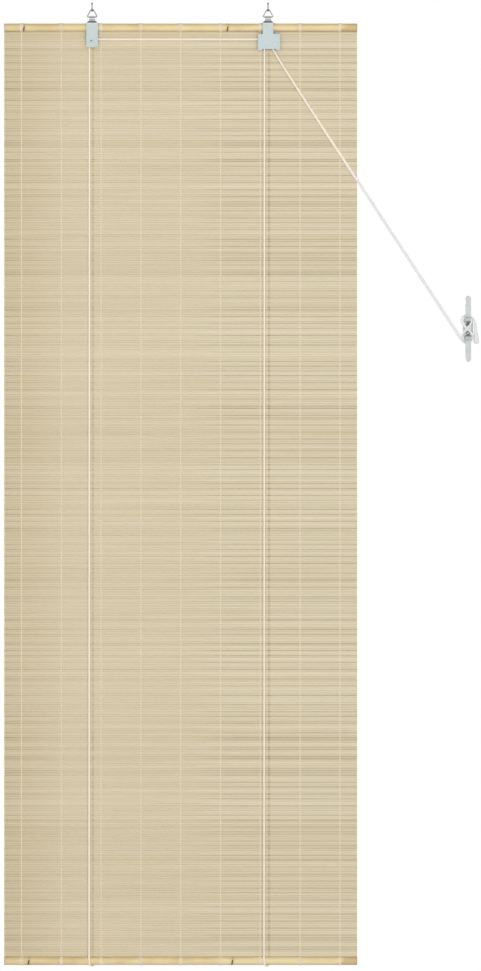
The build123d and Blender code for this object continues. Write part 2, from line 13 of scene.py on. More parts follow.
import bmesh
import bpy
import numpy as np
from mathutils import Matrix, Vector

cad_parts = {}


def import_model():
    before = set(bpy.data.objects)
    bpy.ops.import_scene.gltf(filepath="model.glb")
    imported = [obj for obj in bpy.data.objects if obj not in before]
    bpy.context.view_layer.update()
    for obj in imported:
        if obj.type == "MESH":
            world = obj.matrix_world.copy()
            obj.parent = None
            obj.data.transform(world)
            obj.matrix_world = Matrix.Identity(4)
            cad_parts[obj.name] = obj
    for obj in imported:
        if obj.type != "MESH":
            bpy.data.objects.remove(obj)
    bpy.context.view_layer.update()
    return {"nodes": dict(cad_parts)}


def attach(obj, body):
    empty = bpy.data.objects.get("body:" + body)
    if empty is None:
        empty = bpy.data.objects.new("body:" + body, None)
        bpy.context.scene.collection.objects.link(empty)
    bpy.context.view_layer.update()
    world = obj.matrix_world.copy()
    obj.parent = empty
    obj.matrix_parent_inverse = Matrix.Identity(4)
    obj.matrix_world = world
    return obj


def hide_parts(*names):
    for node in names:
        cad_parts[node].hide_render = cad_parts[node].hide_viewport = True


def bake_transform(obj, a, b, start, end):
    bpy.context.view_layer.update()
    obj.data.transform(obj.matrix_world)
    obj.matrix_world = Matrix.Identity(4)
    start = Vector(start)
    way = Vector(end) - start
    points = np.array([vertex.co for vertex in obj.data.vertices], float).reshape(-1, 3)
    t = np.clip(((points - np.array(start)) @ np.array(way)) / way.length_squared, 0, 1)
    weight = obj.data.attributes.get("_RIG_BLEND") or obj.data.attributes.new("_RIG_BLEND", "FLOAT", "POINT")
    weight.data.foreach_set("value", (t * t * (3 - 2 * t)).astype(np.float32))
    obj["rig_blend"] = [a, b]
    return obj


Array = np.ndarray
Colour = tuple[float, float, float, float]
Point = tuple[float, float, float]
Span = tuple[float, float]
log = logging.getLogger("bamboo_blind")


class Body(str, Enum):
    """The CAD bodies that the pieces ride on."""

    WALL = "wall_fixings"
    BLIND = "blind"
    LEFT_PULLEY = "left_pulley"
    LOCK_PULLEY = "lock_pulley"
    CARRIAGE = "roller_carriage"
    ROLLER = "lock_roller"


class Phase(Enum):
    """Which slats a warp thread passes in front of."""

    ODD = 1.0
    EVEN = -1.0


@dataclass(frozen=True)
class Layout:
    """The places that several pieces share."""

    left: float = -0.299
    right: float = 0.301
    middle_x: float = 0.001
    hang_y: float = -0.015
    left_axle: Point = (-0.1505, 0.0, -0.0527)
    lock_axle: Point = (0.1497, 0.0, -0.0557)
    cleat: Point = (0.4896, 0.0, -0.5412)
    warp_pitch: float = 0.06765
    warps_each_side: int = 4

    def warp_numbers(self) -> Array:
        """The warps counted from the middle one."""
        return np.arange(-self.warps_each_side, self.warps_each_side + 1)

    def warp_places(self) -> Array:
        """Each warp's place along X."""
        return self.middle_x + self.warp_pitch * self.warp_numbers()


LAYOUT = Layout()


def srgb(red: float, green: float, blue: float) -> Colour:
    """Turn a display colour into linear light, by the sRGB curve undone.

    Args:
        red: Red from 0 to 255.
        green: Green from 0 to 255.
        blue: Blue from 0 to 255.

    Returns:
        The colour, opaque.
    """
    share = np.array([red, green, blue]) / 255
    linear = np.where(share <= 0.04045, share / 12.92, ((share + 0.055) / 1.055) ** 2.4)
    return (*linear.tolist(), 1.0)


class Socket:
    """A socket of a node tree; arithmetic on it adds Math nodes."""

    def __init__(self, graph: "Graph", socket: bpy.types.NodeSocket | None) -> None:
        """Keep the tree and the socket."""
        self.graph = graph
        self.socket = socket

    def __add__(self, other: "Socket | float") -> "Socket":
        """This plus the other."""
        return self.graph.math("ADD", self, other)

    def __sub__(self, other: "Socket | float") -> "Socket":
        """This minus the other."""
        return self.graph.math("SUBTRACT", self, other)

    def __rsub__(self, other: float) -> "Socket":
        """The other minus this."""
        return self.graph.math("SUBTRACT", other, self)

    def __mul__(self, other: "Socket | float") -> "Socket":
        """This times the other."""
        return self.graph.math("MULTIPLY", self, other)

    def __truediv__(self, other: "Socket | float") -> "Socket":
        """This over the other."""
        return self.graph.math("DIVIDE", self, other)

    __radd__ = __add__
    __rmul__ = __mul__


class Graph:
    """The node tree of one finish."""

    def __init__(self, tree: bpy.types.NodeTree) -> None:
        """Start from an empty tree."""
        self.tree = tree
        tree.nodes.clear()

    def node(
        self,
        kind: str,
        settings: dict[str, Any] | None = None,
        inputs: dict[str | int, Any] | None = None,
        output: str | int = 0,
    ) -> Socket:
        """Add any node.

        Args:
            kind: The node's type.
            settings: Its properties, set first; stops are a ramp's (place, colour) pairs.
            inputs: The value or link of each named or numbered input.
            output: The output that is wanted.

        Returns:
            That output.
        """
        node = self.tree.nodes.new(kind)
        for name, value in (settings or {}).items():
            if name == "stops":
                ramp = node.color_ramp.elements
                ramp[0].position, ramp[0].color = value[0]
                ramp[1].position, ramp[1].color = value[-1]
                for place, colour in value[1:-1]:
                    ramp.new(place).color = colour
            else:
                setattr(node, name, value)
        for name, value in (inputs or {}).items():
            if isinstance(value, Socket):
                self.tree.links.new(value.socket, node.inputs[name])
            else:
                node.inputs[name].default_value = value
        return Socket(self, node.outputs[output] if node.outputs else None)

    def math(self, operation: str, *values: Socket | float) -> Socket:
        """A Math node on one to three values."""
        return self.node("ShaderNodeMath", {"operation": operation}, dict(enumerate(values)))

    def mix(self, share: Socket | float, first: Socket | Colour, second: Socket | Colour) -> Socket:
        """One colour mixed into another by a share that is held from 0 to 1."""
        settings = {"data_type": "RGBA", "clamp_factor": True}
        return self.node("ShaderNodeMix", settings, {0: share, 6: first, 7: second}, 2)

    def place(self, scale: Point, shift: Point) -> Socket:
        """Object coordinates, scaled and then shifted."""
        coordinates = self.node("ShaderNodeTexCoord", output="Object")
        return self.node("ShaderNodeMapping", {}, {"Vector": coordinates, "Scale": scale, "Location": shift})

    def axis(self, name: str) -> Socket:
        """One of the object coordinates X, Y and Z."""
        coordinates = self.node("ShaderNodeTexCoord", output="Object")
        return self.node("ShaderNodeSeparateXYZ", {}, {"Vector": coordinates}, name)

    def uv(self, name: str) -> Socket:
        """One of the piece's own UV coordinates, named X and Y."""
        coordinates = self.node("ShaderNodeTexCoord", output="UV")
        return self.node("ShaderNodeSeparateXYZ", {}, {"Vector": coordinates}, name)

    def kept(self, name: str) -> Socket:
        """A number that the piece keeps at each point."""
        return self.node("ShaderNodeAttribute", {"attribute_name": name}, output="Fac")

    def noise(
        self, scale: Point, detail: float = 2.0, rough: float = 0.5, shift: Point = (0.0, 0.0, 0.0)
    ) -> Socket:
        """Noise from 0 to 1 with its own scale along each axis, in cells a metre."""
        inputs = {"Vector": self.place(scale, shift), "Scale": 1.0, "Detail": detail, "Roughness": rough}
        return self.node("ShaderNodeTexNoise", {}, inputs)

    def rise(self, value: Socket | float, low: float, high: float) -> Socket:
        """0 below low and 1 above high, with an eased step between."""
        inputs = {"Value": value, "From Min": low, "From Max": high}
        return self.node("ShaderNodeMapRange", {"interpolation_type": "SMOOTHSTEP"}, inputs)

    def bump(self, height: Socket, depth: float, strength: float = 1.0) -> Socket:
        """A normal bent by a height from 0 to 1 over a depth in metres."""
        return self.node("ShaderNodeBump", {}, {"Height": height, "Distance": depth, "Strength": strength})

    def surface(self, **inputs: Any) -> None:
        """Close the tree with a Principled shader; input names use _ for a space."""
        named = {name.replace("_", " "): value for name, value in inputs.items()}
        shader = self.node("ShaderNodeBsdfPrincipled", {}, named)
        self.node("ShaderNodeOutputMaterial", {}, {"Surface": shader})


def new_material(name: str) -> tuple[bpy.types.Material, Graph]:
    """Make a named material with an empty tree.

    Args:
        name: The material's name.

    Returns:
        The material and its tree.
    """
    material = bpy.data.materials.new(name)
    material.use_nodes = True
    return material, Graph(material.node_tree)


@dataclass(frozen=True)
class SlatFinish:
    """Split bamboo: a tone for each slat, fibre streaks, and painted shade in the crevices, stronger on the
    right.
    """

    dark: Colour = srgb(198, 182, 143)
    light: Colour = srgb(229, 217, 188)
    blush: Colour = srgb(219, 203, 180)
    straw: Colour = srgb(203, 186, 144)
    crevice: Colour = srgb(124, 101, 54)
    painted_light_tone: Colour = srgb(176, 155, 112)
    skin_roughness: float = 0.55
    cord_runs: Span = (-0.1482, 0.1512)
    right_span: Span = (0.005, 0.09)
    left_span: Span = (LAYOUT.left, -0.17)
    brink_span: Span = (LAYOUT.left, -0.275)
    cord_shadow_span: Span = (0.0006, 0.0026)
    rail_shadow_span: Span = (-0.046, -0.037)

    def material(self) -> bpy.types.Material:
        """Mix tones by slat and by streaks along X, then paint shade on each slat's edges by the gap beside
        it.

        The slats are yellower at the far left, with more painted shade in the crevices near their left ends,
        and carry a brown painted shadow beside each lift cord, over its run behind the mat. Each slat's own
        number shifts the place where its right-hand lines set in.

        Returns:
            The material.
        """
        material, graph = new_material("split_bamboo")
        fibre = graph.noise((6.0, 60.0, 900.0), 3.0, 0.6)
        patch = graph.noise((4.0, 20.0, 130.0), 2.0, 0.5, (3.1, 0.0, 7.7))
        hue = graph.noise((3.0, 10.0, 160.0), 1.0, 0.5, (9.4, 2.0, 1.3))
        along = graph.axis("X")
        own = graph.kept("slat_tone")
        right = graph.rise(along + own * 0.012, *self.right_span)
        far_left = 1.0 - graph.rise(along, *self.left_span)
        brink = 1.0 - graph.rise(along + own * 0.006, *self.brink_span)
        tone = own * (right * 0.06 + far_left * 0.06 + 0.08) + right * 0.22 + fibre * 0.4 + patch * 0.3 + 0.25
        body = graph.mix(tone, self.dark, self.light)
        body = graph.mix(graph.rise(hue, 0.45, 0.75) * 0.35, body, self.blush)
        body = graph.mix(far_left * 0.4, body, self.straw)
        # painted shadow of the lift cords on the slats, in a band along each cord's run behind the mat
        painted_light_mask: Socket | float = 0.0
        for run in self.cord_runs:
            painted_light_mask = painted_light_mask + (1.0 - graph.rise(graph.math("ABSOLUTE", along - run), *self.cord_shadow_span))
        body = graph.mix(painted_light_mask * 0.20, body, self.painted_light_tone)
        # painted shade in the crevices: stronger on the right, at the far left, near the left ends and along
        # the cord runs
        depth = graph.kept("slat_edge")
        gloom = right * 0.62 + far_left * 0.42 + depth * brink * 0.5 + painted_light_mask * 0.7 + 0.17
        body = graph.mix(depth * gloom, body, self.crevice)
        # painted shadow of the head rail on the mat's top slats
        under = graph.rise(graph.axis("Z"), *self.rail_shadow_span)
        body = graph.mix(under * 0.07, body, self.crevice)
        height = fibre * 0.6 + patch * 0.4
        graph.surface(
            Base_Color=body,
            Roughness=fibre * 0.2 + (self.skin_roughness - 0.1),
            Normal=graph.bump(height, 0.0001, 0.6),
            Specular_IOR_Level=0.3,
        )
        return material


@dataclass(frozen=True)
class CaneFinish:
    """Glossy cane skin with dark rings at its nodes, specks, and browner right ends."""

    name: str
    nodes: Span
    axis_z: float
    radius: float
    edge_shades: Span
    tilt: float
    pale: Colour = srgb(238, 219, 170)
    tan: Colour = srgb(213, 187, 136)
    brown: Colour = srgb(178, 145, 92)
    ring: Colour = srgb(84, 66, 34)
    rim: Colour = srgb(150, 126, 80)
    ring_lean: float = 0.16
    end_span: Span = (0.278, 0.294)
    low_span: Span = (0.002, 0.0045)
    ring_span: Span = (0.0007, 0.0017)
    halo_span: Span = (0.001, 0.007)
    edge_shade_reach: Span = (0.68, 1.01)
    cut_span: Span = (0.2988, 0.2998)

    def material(self) -> bpy.types.Material:
        """Mix pale and tan by long streaks, with a slanted dark ring at each node.

        The cane is a little tanner to the left, and tanner above as painted shade; it has painted shade along
        its upper and lower edges and is darker at its cut ends. A ring is a band of X that leans with Z, dark
        on the cane's lower two thirds.

        Returns:
            The material.
        """
        material, graph = new_material(self.name)
        streak = graph.noise((9.0, 260.0, 260.0), 3.0, 0.55)
        cloud = graph.noise((22.0, 40.0, 40.0), 2.0, 0.5, (4.2, 0.0, 0.0))
        speck = graph.noise((420.0, 700.0, 700.0), 1.0, 0.4)
        along = graph.axis("X")
        height = graph.axis("Z") - self.axis_z
        slant = height * self.ring_lean
        mottle = streak * 0.6 + graph.rise(cloud, 0.35, 0.68) * 0.5
        # painted shade: the cane turns tanner with height
        tone = mottle - 0.12 + height * 45.0 - (along + 0.11) * self.tilt
        body = graph.mix(tone, self.pale, self.tan)
        ends = graph.rise(along + cloud * 0.02 - height * 0.9, *self.end_span)
        body = graph.mix(ends * 0.5, body, self.brown)
        low = 1.0 - graph.rise(height + streak * 0.003, *self.low_span)
        marks: Socket | float = 0.0
        for node in self.nodes:
            off = graph.math("ABSOLUTE", along - slant - node)
            ring = 1.0 - graph.rise(off, *self.ring_span)
            halo = 1.0 - graph.rise(off, *self.halo_span)
            marks = marks + ring * (low * 0.8 + 0.12) + halo * 0.12
        body = graph.mix(marks * 0.95, body, self.ring)
        body = graph.mix(graph.rise(speck, 0.70, 0.78) * 0.4, body, self.brown)
        # painted shade along the upper and lower edges, mixed with the darker cut ends
        shade_reach = [share * self.radius for share in self.edge_shade_reach]
        upper = graph.rise(height, *shade_reach) * self.edge_shades[0]
        lower = graph.rise(height * -1.0, *shade_reach) * self.edge_shades[1]
        cut = graph.rise(graph.math("ABSOLUTE", along - LAYOUT.middle_x), *self.cut_span)
        body = graph.mix(graph.math("MAXIMUM", upper + lower, cut * 0.6), body, self.rim)
        graph.surface(
            Base_Color=body,
            Roughness=streak * 0.2 + 0.36,
            Normal=graph.bump(streak * 0.7 + speck * 0.3, 0.00012, 0.5),
            Specular_IOR_Level=0.25,
            Coat_Weight=0.05,
            Coat_Roughness=0.25,
        )
        return material


@dataclass(frozen=True)
class YarnFinish:
    """Soft cotton yarn, with a twist drawn along the piece's own UV."""

    name: str
    pale: Colour
    shade: Colour
    twist: float
    strands: float
    depth: float
    sheen: float = 0.15
    off_mat_white: Colour | None = None
    off_mat_span: Span = (0.275, 0.308)

    def material(self) -> bpy.types.Material:
        """Two sets of ridges cross as sines of the turn round the yarn plus and minus the run along it.

        A yarn with an off-mat white turns to it towards the right; its cream over the mat is painted bounce
        light.

        Returns:
            The material.
        """
        material, graph = new_material(self.name)
        run = graph.uv("X") * (2 * math.pi / self.twist)
        turn = graph.uv("Y") * (2 * math.pi * self.strands)
        one = graph.math("SINE", turn + run)
        other = graph.math("SINE", turn - run)
        ridge = graph.math("MAXIMUM", one, other) * 0.5 + 0.5
        fuzz = graph.noise((2600.0, 2600.0, 2600.0), 2.0, 0.6)
        soil = graph.noise((16.0, 16.0, 16.0), 2.0, 0.5)
        body = graph.mix(ridge * 0.6 + fuzz * 0.5 - 0.05, self.shade, self.pale)
        body = graph.mix(graph.rise(soil, 0.5, 0.8) * 0.25, body, self.shade)
        # painted bounce light: cream where the cord hangs over the mat, white beyond it
        if self.off_mat_white is not None:
            body = graph.mix(graph.rise(graph.axis("X"), *self.off_mat_span), body, self.off_mat_white)
        graph.surface(
            Base_Color=body,
            Roughness=fuzz * 0.15 + 0.78,
            Normal=graph.bump(ridge * 0.7 + fuzz * 0.3, self.depth, 0.8),
            Specular_IOR_Level=0.2,
            Sheen_Weight=self.sheen,
        )
        return material


@dataclass(frozen=True)
class PaintedSteelFinish:
    """Pale blue-grey enamel on pressed sheet, with painted highlights on its folds and bands of painted shade
    and highlight over its bent head.
    """

    name: str
    banded: bool
    body: Colour = srgb(194, 206, 207)
    grime_and_shade: Colour = srgb(180, 193, 193)
    painted_light_tone: Colour = srgb(214, 220, 214)
    bend: Colour = srgb(54, 58, 59)
    neck: Colour = srgb(156, 160, 160)
    throat: Colour = srgb(200, 204, 204)
    collar: Colour = srgb(220, 224, 224)
    eye: Colour = srgb(128, 128, 125)
    crown: Colour = srgb(196, 196, 194)
    head_low: float = -0.025
    head_high: float = -0.009
    fold_depths: Span = (-0.02555, -0.0251)
    fold_heights: Span = (-0.0235, -0.0215)
    head_edge: Span = (-0.0233, -0.0228)

    def bands(self, graph: Graph, body: Socket) -> Socket:
        """Lay the head's bands of painted shade and highlight over the enamel by height, and the folds'
        painted highlights by depth.

        Args:
            graph: The finish's tree.
            body: The enamel's colour.

        Returns:
            The colour with its bands.
        """
        height = graph.axis("Z")
        span = self.head_high - self.head_low
        share = (height - self.head_low) / span
        # painted light over the head: a painted highlight on the plate's top bend, painted shade at the bend
        # and the eye, and painted highlights on the throat, collar and crown
        marks = [
            (-0.0232, self.body),
            (-0.0224, self.painted_light_tone),
            (-0.0214, self.painted_light_tone),
            (-0.0211, self.bend),
            (-0.0192, self.bend),
            (-0.0187, self.throat),
            (-0.0167, self.throat),
            (-0.0162, self.neck),
            (-0.0151, self.neck),
            (-0.0147, self.collar),
            (-0.0134, self.collar),
            (-0.0130, self.eye),
            (-0.0117, self.eye),
            (-0.0106, self.crown),
            (-0.0098, self.collar),
        ]
        stops = [((place - self.head_low) / span, colour) for place, colour in marks]
        ramp = graph.node("ShaderNodeValToRGB", {"stops": stops}, {"Fac": share})
        # painted highlights on the folds at the plate's sides
        fold = graph.rise(graph.axis("Y"), *self.fold_depths) * (1.0 - graph.rise(height, *self.fold_heights))
        body = graph.mix(fold * 0.7, body, self.painted_light_tone)
        return graph.mix(graph.rise(height, *self.head_edge), body, ramp)

    def material(self) -> bpy.types.Material:
        """Cloudy enamel, with the head's painted bands of shade and highlight where the part has a head.

        Returns:
            The material.
        """
        material, graph = new_material(self.name)
        cloud = graph.noise((60.0, 60.0, 60.0), 3.0, 0.6)
        grain = graph.noise((1500.0, 1500.0, 1500.0), 2.0, 0.5)
        body = graph.mix(graph.rise(cloud, 0.45, 0.8) * 0.5, self.body, self.grime_and_shade)
        if self.banded:
            body = self.bands(graph, body)
        graph.surface(
            Base_Color=body,
            Roughness=cloud * 0.2 + 0.34,
            Normal=graph.bump(grain * 0.5 + cloud * 0.5, 0.00003, 0.35),
            Specular_IOR_Level=0.35,
            Coat_Weight=0.06,
            Coat_Roughness=0.2,
        )
        return material


@dataclass(frozen=True)
class SteelFinish:
    """Bare drawn steel with fine scratches and a little tarnish."""

    name: str
    bright: Colour
    dull: Colour
    roughness: float = 0.3

    def material(self) -> bpy.types.Material:
        """Mix bright and dull by blotches, with fine scratches in the roughness and the bump.

        Returns:
            The material.
        """
        material, graph = new_material(self.name)
        blotch = graph.noise((180.0, 180.0, 180.0), 3.0, 0.6)
        scratch = graph.noise((400.0, 2400.0, 2400.0), 2.0, 0.7)
        graph.surface(
            Base_Color=graph.mix(graph.rise(blotch, 0.35, 0.7), self.bright, self.dull),
            Metallic=1.0,
            Roughness=scratch * 0.2 + blotch * 0.15 + (self.roughness - 0.15),
            Normal=graph.bump(scratch, 0.00002, 0.3),
        )
        return material


@dataclass(frozen=True)
class HookFinish:
    """Steel wire dark at its tip and its bend as painted shade, and lighter along the arm between them."""

    bright: Colour = srgb(150, 150, 151)
    dull: Colour = srgb(62, 62, 64)
    arm_foot: Span = (-0.0002, 0.0036)
    arm_head: Span = (0.0094, 0.0114)

    def material(self) -> bpy.types.Material:
        """Mix bright into dull over the arm's middle heights, broken up by blotches.

        Returns:
            The material.
        """
        material, graph = new_material("hook_wire")
        blotch = graph.noise((180.0, 180.0, 180.0), 3.0, 0.6)
        scratch = graph.noise((2400.0, 2400.0, 400.0), 2.0, 0.7)
        height = graph.axis("Z") + blotch * 0.0006
        # painted shade at the tip and the bend; the arm between them keeps the lighter steel
        arm = graph.rise(height, *self.arm_foot) * (1.0 - graph.rise(height, *self.arm_head))
        graph.surface(
            Base_Color=graph.mix(arm * 0.95, self.dull, self.bright),
            Metallic=1.0,
            Roughness=scratch * 0.2 + blotch * 0.15 + 0.25,
            Normal=graph.bump(scratch, 0.00002, 0.3),
        )
        return material


@dataclass(frozen=True)
class ScrewFinish:
    """Plated screw heads: a painted highlight in the middle of the lower one, and painted shade with dirt on
    the rest.
    """

    lower_x: float
    lower_z: float
    bright: Colour = srgb(208, 210, 210)
    rim: Colour = srgb(112, 113, 112)
    highlight_span: Span = (0.0010, 0.0022)

    def material(self) -> bpy.types.Material:
        """Mix a painted highlight into the rim's colour by the distance from the lower axis; the upper head
        keeps the rim's painted shade and dirt.

        Returns:
            The material.
        """
        material, graph = new_material("screw_plate")
        across = graph.axis("X") - self.lower_x
        off = graph.axis("Z") - self.lower_z
        away = graph.math("SQRT", across * across + off * off)
        scratch = graph.noise((2400.0, 900.0, 1600.0), 2.0, 0.7)
        # painted highlight on the lower head's dome; the rim and the upper head are painted shade and dirt
        painted_light_mask = 1.0 - graph.rise(away + scratch * 0.0004, *self.highlight_span)
        graph.surface(
            Base_Color=graph.mix(painted_light_mask, self.rim, self.bright),
            Metallic=0.6,
            Roughness=scratch * 0.2 + 0.4,
            Normal=graph.bump(scratch, 0.00002, 0.3),
        )
        return material


@dataclass(frozen=True)
class RivetFinish:
    """Enamel over a tubular rivet, with painted shade in its hollow and a painted highlight on its lower lip.
    """

    body: Colour = srgb(197, 209, 210)
    hollow: Colour = srgb(26, 29, 30)
    lip: Colour = srgb(236, 242, 243)
    axis_z: float = LAYOUT.left_axle[2]
    lip_span: Span = (-0.0003, 0.0004)

    def material(self) -> bpy.types.Material:
        """Mix the hollow's painted shade above and painted highlight below by height, where the piece says
        that its surface is hollow.

        Returns:
            The material.
        """
        material, graph = new_material("rivet_enamel")
        cloud = graph.noise((90.0, 90.0, 90.0), 2.0, 0.5)
        # painted shade in the upper part of the hollow, painted highlight on its lower lip
        upper = graph.rise(graph.axis("Z"), *(self.axis_z + off for off in self.lip_span))
        inside = graph.mix(upper, self.lip, self.hollow)
        graph.surface(
            Base_Color=graph.mix(graph.kept("hollow"), self.body, inside),
            Roughness=cloud * 0.2 + 0.35,
            Normal=graph.bump(cloud, 0.00003, 0.3),
            Coat_Weight=0.1,
        )
        return material


@dataclass(frozen=True)
class CastFinish:
    """Smooth pale castings and mouldings: the cleat and the pulleys."""

    name: str
    body: Colour
    shade: Colour
    cleat: Point | None = None
    roughness: float = 0.4
    hollow: Colour = srgb(96, 97, 95)
    painted_valley_light: Colour = srgb(246, 248, 248)
    screw_rise: float = 0.0076
    seat_span: Span = (0.0034, 0.0050)
    step_foot: Span = (0.0104, 0.0114)
    step_head: Span = (0.0132, 0.0142)
    valley_span: Span = (0.0046, 0.0058)
    deep_span: Span = (-0.0125, -0.0060)
    horn_span: Span = (0.0178, 0.0186)

    def marks(self, graph: Graph, body: Socket, cleat: Point) -> Socket:
        """Paint light into the shaded valley between a cleat's horns, and paint shade on its steps and round
        its screws.

        Args:
            graph: The finish's tree.
            body: The casting's colour.
            cleat: The cleat's middle.

        Returns:
            The colour with its marks.
        """
        up = graph.math("ABSOLUTE", graph.axis("Z") - cleat[2])
        across = graph.axis("X") - cleat[0]
        off = up - self.screw_rise
        away = graph.math("SQRT", across * across + off * off)
        seat = 1.0 - graph.rise(away, *self.seat_span)
        step = graph.rise(up, *self.step_foot) * (1.0 - graph.rise(up, *self.step_head))
        narrow = 1.0 - graph.rise(graph.math("ABSOLUTE", across), *self.valley_span)
        deep = graph.rise(graph.axis("Y"), *self.deep_span)
        between = 1.0 - graph.rise(up, *self.horn_span)
        # painted light in the valley against the horns' shade; painted shade on the steps and round the
        # screws
        body = graph.mix(between * narrow * 0.7, body, self.painted_valley_light)
        grime_and_shade = graph.math("MAXIMUM", seat * 0.85, step * narrow * 0.8)
        return graph.mix(deep * grime_and_shade, body, self.hollow)

    def material(self) -> bpy.types.Material:
        """Mix two close tones by slow clouds, with orange-peel bumps, and paint a cleat's light and shade
        where there is one.

        Returns:
            The material.
        """
        material, graph = new_material(self.name)
        cloud = graph.noise((70.0, 70.0, 70.0), 3.0, 0.55)
        peel = graph.noise((900.0, 900.0, 900.0), 2.0, 0.5)
        body = graph.mix(graph.rise(cloud, 0.35, 0.75), self.body, self.shade)
        if self.cleat is not None:
            body = self.marks(graph, body, self.cleat)
        graph.surface(
            Base_Color=body,
            Roughness=cloud * 0.15 + (self.roughness - 0.07),
            Normal=graph.bump(peel, 0.00004, 0.3),
        )
        return material


@dataclass
class Patch:
    """Points with their faces, the UV of each face corner, and numbers kept per point."""

    points: Array
    faces: list[Array]
    uv: list[Array]
    kept: dict[str, Array] = field(default_factory=dict)


def surface_patch(
    points: Array,
    u: Array,
    v: Array,
    closed_u: bool = False,
    closed_v: bool = True,
    capped: bool = False,
    kept: dict[str, Array] | None = None,
) -> Patch:
    """Join a grid of points into quads: each cell takes its row and column and the next of each.

    Args:
        points: Points as [row, column, xyz], or [copy, row, column, xyz].
        u: The parameter at each row line, with one more for a closed seam.
        v: The parameter at each column line, with one more for a closed seam.
        closed_u: Whether the last row joins the first.
        closed_v: Whether the last column joins the first.
        capped: Whether the first and last rows are closed by flat faces.
        kept: Numbers for each point, in the shape of the points.

    Returns:
        The patch.
    """
    grid = points if points.ndim == 4 else points[None]
    copies, rows, columns = grid.shape[:3]
    i, j = np.meshgrid(np.arange(len(u) - 1), np.arange(len(v) - 1), indexing="ij")
    corners = [(i, j), (i + 1, j), (i + 1, j + 1), (i, j + 1)]
    quads = np.stack([(a % rows) * columns + b % columns for a, b in corners], -1).reshape(-1, 4)
    flat = np.stack([np.stack([u[a], v[b]], -1) for a, b in corners], 2).reshape(-1, 2)
    start = (np.arange(copies) * rows * columns)[:, None, None]
    faces = [(quads[None] + start).reshape(-1, 4)]
    uv = [np.tile(flat, (copies, 1))]
    if capped:
        first = np.arange(columns)[::-1]
        last = np.arange(columns) + (rows - 1) * columns
        faces.append((np.stack([first, last])[None] + start).reshape(-1, columns))
        uv.append(np.zeros((2 * copies * columns, 2)))
    shaped = {name: np.broadcast_to(value, grid.shape[:3]).ravel() for name, value in (kept or {}).items()}
    return Patch(grid.reshape(-1, 3), faces, uv, shaped)


def make_piece(name: str, patches: Sequence[Patch], crease: float = 40.0) -> bpy.types.Object:
    """Put patches into one mesh object at the origin.

    Args:
        name: The piece's name.
        patches: The patches, which keep the same numbers per point.
        crease: The angle in degrees above which an edge stays sharp.

    Returns:
        The object, with poles merged and faces turned outwards.
    """
    starts = np.cumsum([0] + [len(patch.points) for patch in patches])
    faces = [part + start for patch, start in zip(patches, starts) for part in patch.faces]
    sizes = np.concatenate([np.full(len(part), part.shape[1]) for part in faces])
    mesh = bpy.data.meshes.new(name)
    mesh.vertices.add(int(starts[-1]))
    points = np.concatenate([patch.points for patch in patches])
    mesh.vertices.foreach_set("co", points.astype(np.float32).ravel())
    mesh.loops.add(int(sizes.sum()))
    mesh.loops.foreach_set("vertex_index", np.concatenate([part.ravel() for part in faces]).astype(np.int32))
    mesh.polygons.add(len(sizes))
    mesh.polygons.foreach_set("loop_start", (np.cumsum(sizes) - sizes).astype(np.int32))
    mesh.update(calc_edges=True)
    layer = mesh.uv_layers.new(name="UVMap")
    uv = np.concatenate([part for patch in patches for part in patch.uv])
    layer.uv.foreach_set("vector", uv.astype(np.float32).ravel())
    for key in patches[0].kept:
        values = np.concatenate([patch.kept[key] for patch in patches])
        mesh.attributes.new(key, "FLOAT", "POINT").data.foreach_set("value", values.astype(np.float32))
    close_mesh(mesh, crease)
    piece = bpy.data.objects.new(name, mesh)
    bpy.context.scene.collection.objects.link(piece)
    return piece


def close_mesh(mesh: bpy.types.Mesh, crease: float, flatten: bool = False) -> None:
    """Merge a mesh's doubles, turn its faces outwards and shade it smooth.

    Args:
        mesh: The mesh to change.
        crease: The angle in degrees above which an edge stays sharp.
        flatten: Whether triangles that lie in one plane are joined into one face.
    """
    work = bmesh.new()
    work.from_mesh(mesh)
    bmesh.ops.remove_doubles(work, verts=work.verts, dist=1e-7)
    if flatten:
        bmesh.ops.dissolve_limit(work, angle_limit=math.radians(0.5), verts=work.verts, edges=work.edges)
    bmesh.ops.recalc_face_normals(work, faces=work.faces)
    work.to_mesh(mesh)
    work.free()
    mesh.polygons.foreach_set("use_smooth", np.ones(len(mesh.polygons), dtype=bool))
    mesh.set_sharp_from_angle(angle=math.radians(crease))


def dress(
    piece: bpy.types.Object,
    material: bpy.types.Material,
    body: Body,
    nodes: Sequence[str],
) -> bpy.types.Object:
    """Give a piece its finish, the body it rides on and the nodes it stands for.

    Args:
        piece: The new piece.
        material: Its finish.
        body: The CAD body that carries it.
        nodes: The CAD nodes that it replaces.

    Returns:
        The piece.
    """
    piece.data.materials.clear()
    piece.data.materials.append(material)
    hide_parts(*nodes)
    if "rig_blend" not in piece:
        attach(piece, body.value)
    log.info("%s: %d faces, for %s", piece.name, len(piece.data.polygons), ", ".join(nodes))
    return piece


def unit(vectors: Array) -> Array:
    """Vectors divided by their lengths."""
    return vectors / np.linalg.norm(vectors, axis=-1, keepdims=True)


